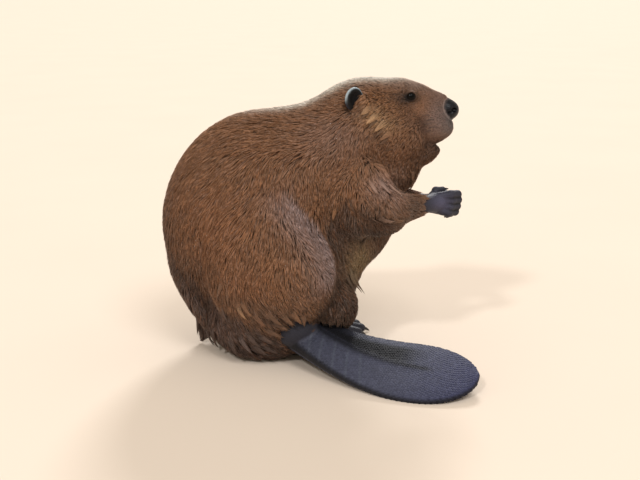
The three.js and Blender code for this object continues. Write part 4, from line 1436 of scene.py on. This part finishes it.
def eyeMesh(name, sign):
    # a ball that swells a little towards where it looks
    rows, columns = eye["rows"], eye["columns"]
    tilt = np.linspace(0, np.pi, rows)
    turn = np.linspace(0, 2 * np.pi, columns, endpoint=False)
    out = unit(np.array(eye["look"])) * (1, sign, 1)
    ahead = unit(np.cross(out, (0, 0, 1)))
    rise = np.cross(ahead, out)
    radius = eye["radius"] * (1 + eye["swell"] * np.exp(-((tilt / eye["swellAngle"]) ** 2)))
    aside = np.cos(turn)[None, :, None] * ahead + np.sin(turn)[None, :, None] * rise
    spots = np.cos(tilt)[:, None, None] * out + np.sin(tilt)[:, None, None] * aside
    at = np.array(eye["at"]) * (1, sign, 1)
    verts = (at + spots * radius[:, None, None]).reshape(-1, 3)
    i, j = np.meshgrid(np.arange(rows - 1), np.arange(columns), indexing="ij")
    a, b = i * columns + j, i * columns + (j + 1) % columns
    faces = np.stack([a, b, b + columns, a + columns], -1).reshape(-1, 4)
    piece = meshFrom(name, verts, faces)
    bm = bmesh.new()
    bm.from_mesh(piece.data)
    bmesh.ops.remove_doubles(bm, verts=bm.verts, dist=1e-6)
    bmesh.ops.recalc_face_normals(bm, faces=bm.faces)
    bm.to_mesh(piece.data)
    bm.free()
    p = pointsOf(piece.data) - at
    gaze = np.arccos(np.clip((p @ out) / np.linalg.norm(p, axis=1), -1, 1))
    setNumbers(piece.data, "gaze", gaze)
    return piece


eyes = [eyeMesh("eye_ball_right", 1), eyeMesh("eye_ball_left", -1)]


clawShape = {"rings": 8, "sides": 12, "sunk": 2.5, "taper": 0.6, "tip": 0.15}
clawSizes = {
    # length, width, curl, how far the left ones are moved inward and down
    "hand": (8, 2.0, 1.0, (leftHand["inward"], leftHand["drop"])),
    "foot": (10, 2.8, 3.4, (0, 0)),
}


def clawPaths(paths, length, width, curl):
    # from the last joint of each finger or toe: out along it, bending down and narrowing
    out = []
    s = np.linspace(0, 1, clawShape["rings"])
    for path in paths:
        a, b = np.array(path[-2][:3], float), np.array(path[-1][:3], float)
        way = unit(b - a)
        start = b + way * (path[-1][3] - clawShape["sunk"])
        line = start + s[:, None] * way * length + (s**2)[:, None] * (0, 0, -curl)
        radius = width * (1 - s) ** clawShape["taper"] + clawShape["tip"]
        out.append(np.concatenate([line, radius[:, None]], 1))
    return out


def mirrored(paths, inward, drop):
    # the same paths on the left, moved as the left hand is
    return [np.array(path) * (1, -1, 1, 1) - (0, inward, drop, 0) for path in paths]


claws = []
for limb, paths in (("hand", fingerPaths()), ("foot", toePaths())):
    *size, moved = clawSizes[limb]
    right = clawPaths(paths, *size)
    for side, lines in (("right", right), ("left", mirrored(right, *moved))):
        claw = meshFrom(f"{limb}_claws_{side}", *tubeMesh(lines, clawShape["sides"]))
        claws.append((claw, limb, side))


# Materials
def material(name, **sockets):
    # a new material, with plain values on the shader's own sockets
    mat = bpy.data.materials.new(name)
    mat.use_nodes = True
    nodes, links = mat.node_tree.nodes, mat.node_tree.links
    shader = nodes["Principled BSDF"]
    for key, value in sockets.items():
        shader.inputs[key.replace("_", " ")].default_value = value
    return mat, nodes, links, shader


def screen(*rgb):
    # a material's colour, from the values of a screen
    return (*linear(rgb), 1)


# The nodes that materials are made of: each function returns its output.
def attribute(nodes, name, output="Fac"):
    node = nodes.new("ShaderNodeAttribute")
    node.attribute_name = name
    return node.outputs[output]


def mapped(nodes, links, source, low, high, toLow, toHigh):
    node = nodes.new("ShaderNodeMapRange")
    for key, value in (("From Min", low), ("From Max", high), ("To Min", toLow), ("To Max", toHigh)):
        node.inputs[key].default_value = value
    links.new(source, node.inputs["Value"])
    return node.outputs["Result"]


def mottled(nodes, links, grain, low, high):
    # a noise keeps mostly between 0.3 and 0.7, which become low and high
    return mapped(nodes, links, grain, 0.3, 0.7, low, high)


def noise(nodes, links, scale, detail, stretch=None):
    place = nodes.new("ShaderNodeTexCoord").outputs["Object"]
    if stretch:
        mapping = nodes.new("ShaderNodeMapping")
        mapping.inputs["Scale"].default_value = stretch
        links.new(place, mapping.inputs["Vector"])
        place = mapping.outputs["Vector"]
    node = nodes.new("ShaderNodeTexNoise")
    node.inputs["Scale"].default_value = scale
    node.inputs["Detail"].default_value = detail
    links.new(place, node.inputs["Vector"])
    return node.outputs["Fac"]


def combined(nodes, links, kind, a, b):
    node = nodes.new("ShaderNodeMath")
    node.operation = kind
    links.new(a, node.inputs[0])
    links.new(b, node.inputs[1])
    return node.outputs[0]


def product(nodes, links, first, *rest):
    for other in rest:
        first = combined(nodes, links, "MULTIPLY", first, other)
    return first


def colourBy(nodes, links, shader, factor):
    # the shader's colour is the marking, times a factor
    node = nodes.new("ShaderNodeVectorMath")
    node.operation = "SCALE"
    links.new(attribute(nodes, "marking", "Color"), node.inputs[0])
    links.new(factor, node.inputs["Scale"])
    links.new(node.outputs["Vector"], shader.inputs["Base Color"])


def ramped(nodes, links, shader, source, stops):
    # the shader's colour runs through some stops, each a position and a colour
    ramp = nodes.new("ShaderNodeValToRGB")
    for index, (position, colour) in enumerate(stops):
        elements = ramp.color_ramp.elements
        stop = elements[index] if index < 2 else elements.new(position)
        stop.position = position
        stop.color = colour
    links.new(source, ramp.inputs["Fac"])
    links.new(ramp.outputs["Color"], shader.inputs["Base Color"])


def coatMaterial():
    # hair darker at its root, a painted shade deep in the coat; each strand a little lighter or darker, over
    # a fine and a broad mottle
    mat, nodes, links, shader = material(
        "coat_hair", Roughness=0.62, Specular_IOR_Level=0.3,
        Sheen_Weight=0.12, Sheen_Roughness=0.4, Sheen_Tint=screen(230, 215, 200))
    light = mapped(nodes, links, attribute(nodes, "strand"), 0, 1, 0.8, 1.2)
    shade = mapped(nodes, links, attribute(nodes, "along"), 0, 1, 0.68, 1.1)
    fleck = mottled(nodes, links, noise(nodes, links, 420, 2), 0.86, 1.14)
    broad = mottled(nodes, links, noise(nodes, links, 55, 3), 0.9, 1.1)
    mottle = product(nodes, links, fleck, broad)
    colourBy(nodes, links, shader, product(nodes, links, light, shade, mottle))
    return mat


def skinMaterial():
    # naked skin is glossier than the skin under the coat, with pores; the nose is wet; the skin under the
    # coat is darkened, a painted shade beneath the hair
    mat, nodes, links, shader = material("hide_and_underfur", Roughness=0.6, Specular_IOR_Level=0.2)
    naked = attribute(nodes, "bare")
    grain = noise(nodes, links, 900, 2)
    cells = nodes.new("ShaderNodeTexVoronoi")
    cells.inputs["Scale"].default_value = 420
    links.new(nodes.new("ShaderNodeTexCoord").outputs["Object"], cells.inputs["Vector"])
    pore = cells.outputs["Distance"]
    # painted shade: the skin under the coat is darker
    under = mapped(nodes, links, naked, 0, 1, 0.72, 1)
    fleck = mottled(nodes, links, grain, 0.85, 1.12)
    mottle = product(nodes, links, fleck, mapped(nodes, links, pore, 0, 0.6, 0.9, 1.08))
    colourBy(nodes, links, shader, product(nodes, links, under, mottle))
    rough = mapped(nodes, links, naked, 0, 1, 0.8, 0.55)
    damp = mapped(nodes, links, attribute(nodes, "wet"), 0, 1, 0, 0.28)
    links.new(combined(nodes, links, "SUBTRACT", rough, damp), shader.inputs["Roughness"])
    bump = nodes.new("ShaderNodeBump")
    bump.inputs["Strength"].default_value = 0.35
    bump.inputs["Distance"].default_value = 0.0006
    links.new(combined(nodes, links, "ADD", pore, grain), bump.inputs["Height"])
    links.new(bump.outputs["Normal"], shader.inputs["Normal"])
    return mat


def eyeMaterial():
    # a black pupil in a nearly black brown, by the angle from where the eye looks
    mat, nodes, links, shader = material("eye_wet", Roughness=0.06, Specular_IOR_Level=0.09)
    gaze = mapped(nodes, links, attribute(nodes, "gaze"), 0, 1.6, 0, 1)
    pupil = (0.002, 0.002, 0.002, 1)
    ramped(nodes, links, shader, gaze, [(0.26, pupil), (0.32, screen(18, 13, 10)), (0.6, screen(8, 6, 5))])
    return mat


def clawMaterial():
    # horn with a grain along it
    mat, nodes, links, shader = material("claw_horn", Roughness=0.35, Specular_IOR_Level=0.5)
    grain = noise(nodes, links, 300, 3, (1, 1, 4))
    ramped(nodes, links, shader, grain, [(0, screen(24, 22, 24)), (1, screen(50, 45, 44))])
    return mat


def scaleMaterial():
    # each plate a little lighter or darker, with a fine grain
    mat, nodes, links, shader = material("tail_scale", Roughness=0.6, Specular_IOR_Level=0.15)
    light = mapped(nodes, links, attribute(nodes, "strand"), 0, 1, 0.82, 1.2)
    grain = mottled(nodes, links, noise(nodes, links, 1200, 2), 0.85, 1.15)
    colourBy(nodes, links, shader, product(nodes, links, light, grain))
    return mat


looks = {
    "scale": scaleMaterial(), "coat": coatMaterial(), "skin": skinMaterial(),
    "eye": eyeMaterial(), "claw": clawMaterial(),
}
sides = ("right", "left")
flesh = ["head", "lower_jaw", "nose", "neck", "trunk", "tail_base", "tail"]
flesh += [f"{part}_{side}" for part in ("ear", "upper_arm", "forearm", "hand", "thigh", "shank", "foot")
          for side in sides]


def dress(piece, look, slot, *replaced):
    # hands a piece its material and its body, and hides the nodes that it stands for; slot is not used
    piece.data.materials.append(looks[look])
    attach(piece, "root")
    if replaced:
        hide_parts(*replaced)


dress(skin, "skin", "hide", *flesh)
for piece in coatPieces:
    dress(piece, "coat", "face_coat" if "face" in piece.name else "coat")
dress(tailScales, "scale", "tail_hide")
for piece, side in zip(eyes, sides):
    dress(piece, "eye", "eye", f"eye_{side}")
for piece, limb, side in claws:
    dress(piece, "claw", "horn", *[f"{limb}_claw_{i}_{side}" for i in range(1, 6)])
report("materials on")


# Floor, light and camera
studio = {
    "floorHalf": 30.0, "floor": [(221, 206, 191), (225, 210, 195)],
    "air": (255, 246, 230), "airStrength": 0.62,
    "lamps": {
        # strength, softness in degrees, turn and tilt of the way it comes from
        "key": (1.15, 26, 25, 50), "rim": (2.0, 14, 172, 34), "glint": (0.95, 6, -30, 42),
    },
    # the camera looks down by the tilt at a point, from so far away; its lens is in pixels of the frame
    "target": (101.5, 0, 158.4), "away": 1420, "tilt": 15, "lens": 979.3, "frameWidth": 640, "farthest": 200,
}


def stage():
    # a pale floor under soft light from all round, with three suns
    scene = bpy.context.scene
    mat, nodes, links, shader = material("floor_paper", Roughness=0.9, Specular_IOR_Level=0.1)
    tint = nodes.new("ShaderNodeMix")
    tint.data_type = "RGBA"
    for socket, colour in zip(tint.inputs[6:8], studio["floor"]):
        socket.default_value = screen(*colour)
    links.new(noise(nodes, links, 3, 2), tint.inputs[0])
    links.new(tint.outputs[2], shader.inputs["Base Color"])
    half = studio["floorHalf"]
    mesh = bpy.data.meshes.new("floor")
    corners = [(-half, -half, 0), (half, -half, 0), (half, half, 0), (-half, half, 0)]
    mesh.from_pydata(corners, [], [(0, 1, 2, 3)])
    floor = bpy.data.objects.new("floor", mesh)
    scene.collection.objects.link(floor)
    mesh.materials.append(mat)
    scene.world = bpy.data.worlds.new("studio")
    scene.world.use_nodes = True
    air = scene.world.node_tree.nodes["Background"].inputs
    air["Color"].default_value = screen(*studio["air"])
    air["Strength"].default_value = studio["airStrength"]
    for name, (power, soft, turn, tilt) in studio["lamps"].items():
        light = bpy.data.lights.new(name, "SUN")
        light.energy = power
        light.angle = math.radians(soft)
        lamp = bpy.data.objects.new(name, light)
        lamp.rotation_euler = (math.radians(90 - tilt), 0, math.radians(turn))
        scene.collection.objects.link(lamp)
    lens = bpy.data.cameras.new("camera")
    lens.sensor_width = 36
    lens.lens = 36 * studio["lens"] / studio["frameWidth"]
    lens.clip_end = studio["farthest"]
    camera = bpy.data.objects.new("camera", lens)
    tilt = math.radians(studio["tilt"])
    away = studio["away"] * np.array([0, math.cos(tilt), -math.sin(tilt)])
    camera.location = (np.array(studio["target"]) - away) * metre
    camera.rotation_euler = (math.radians(90) - tilt, 0, 0)
    scene.collection.objects.link(camera)
    scene.camera = camera
    scene.view_settings.view_transform = "Standard"


stage()
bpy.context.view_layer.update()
report("done")
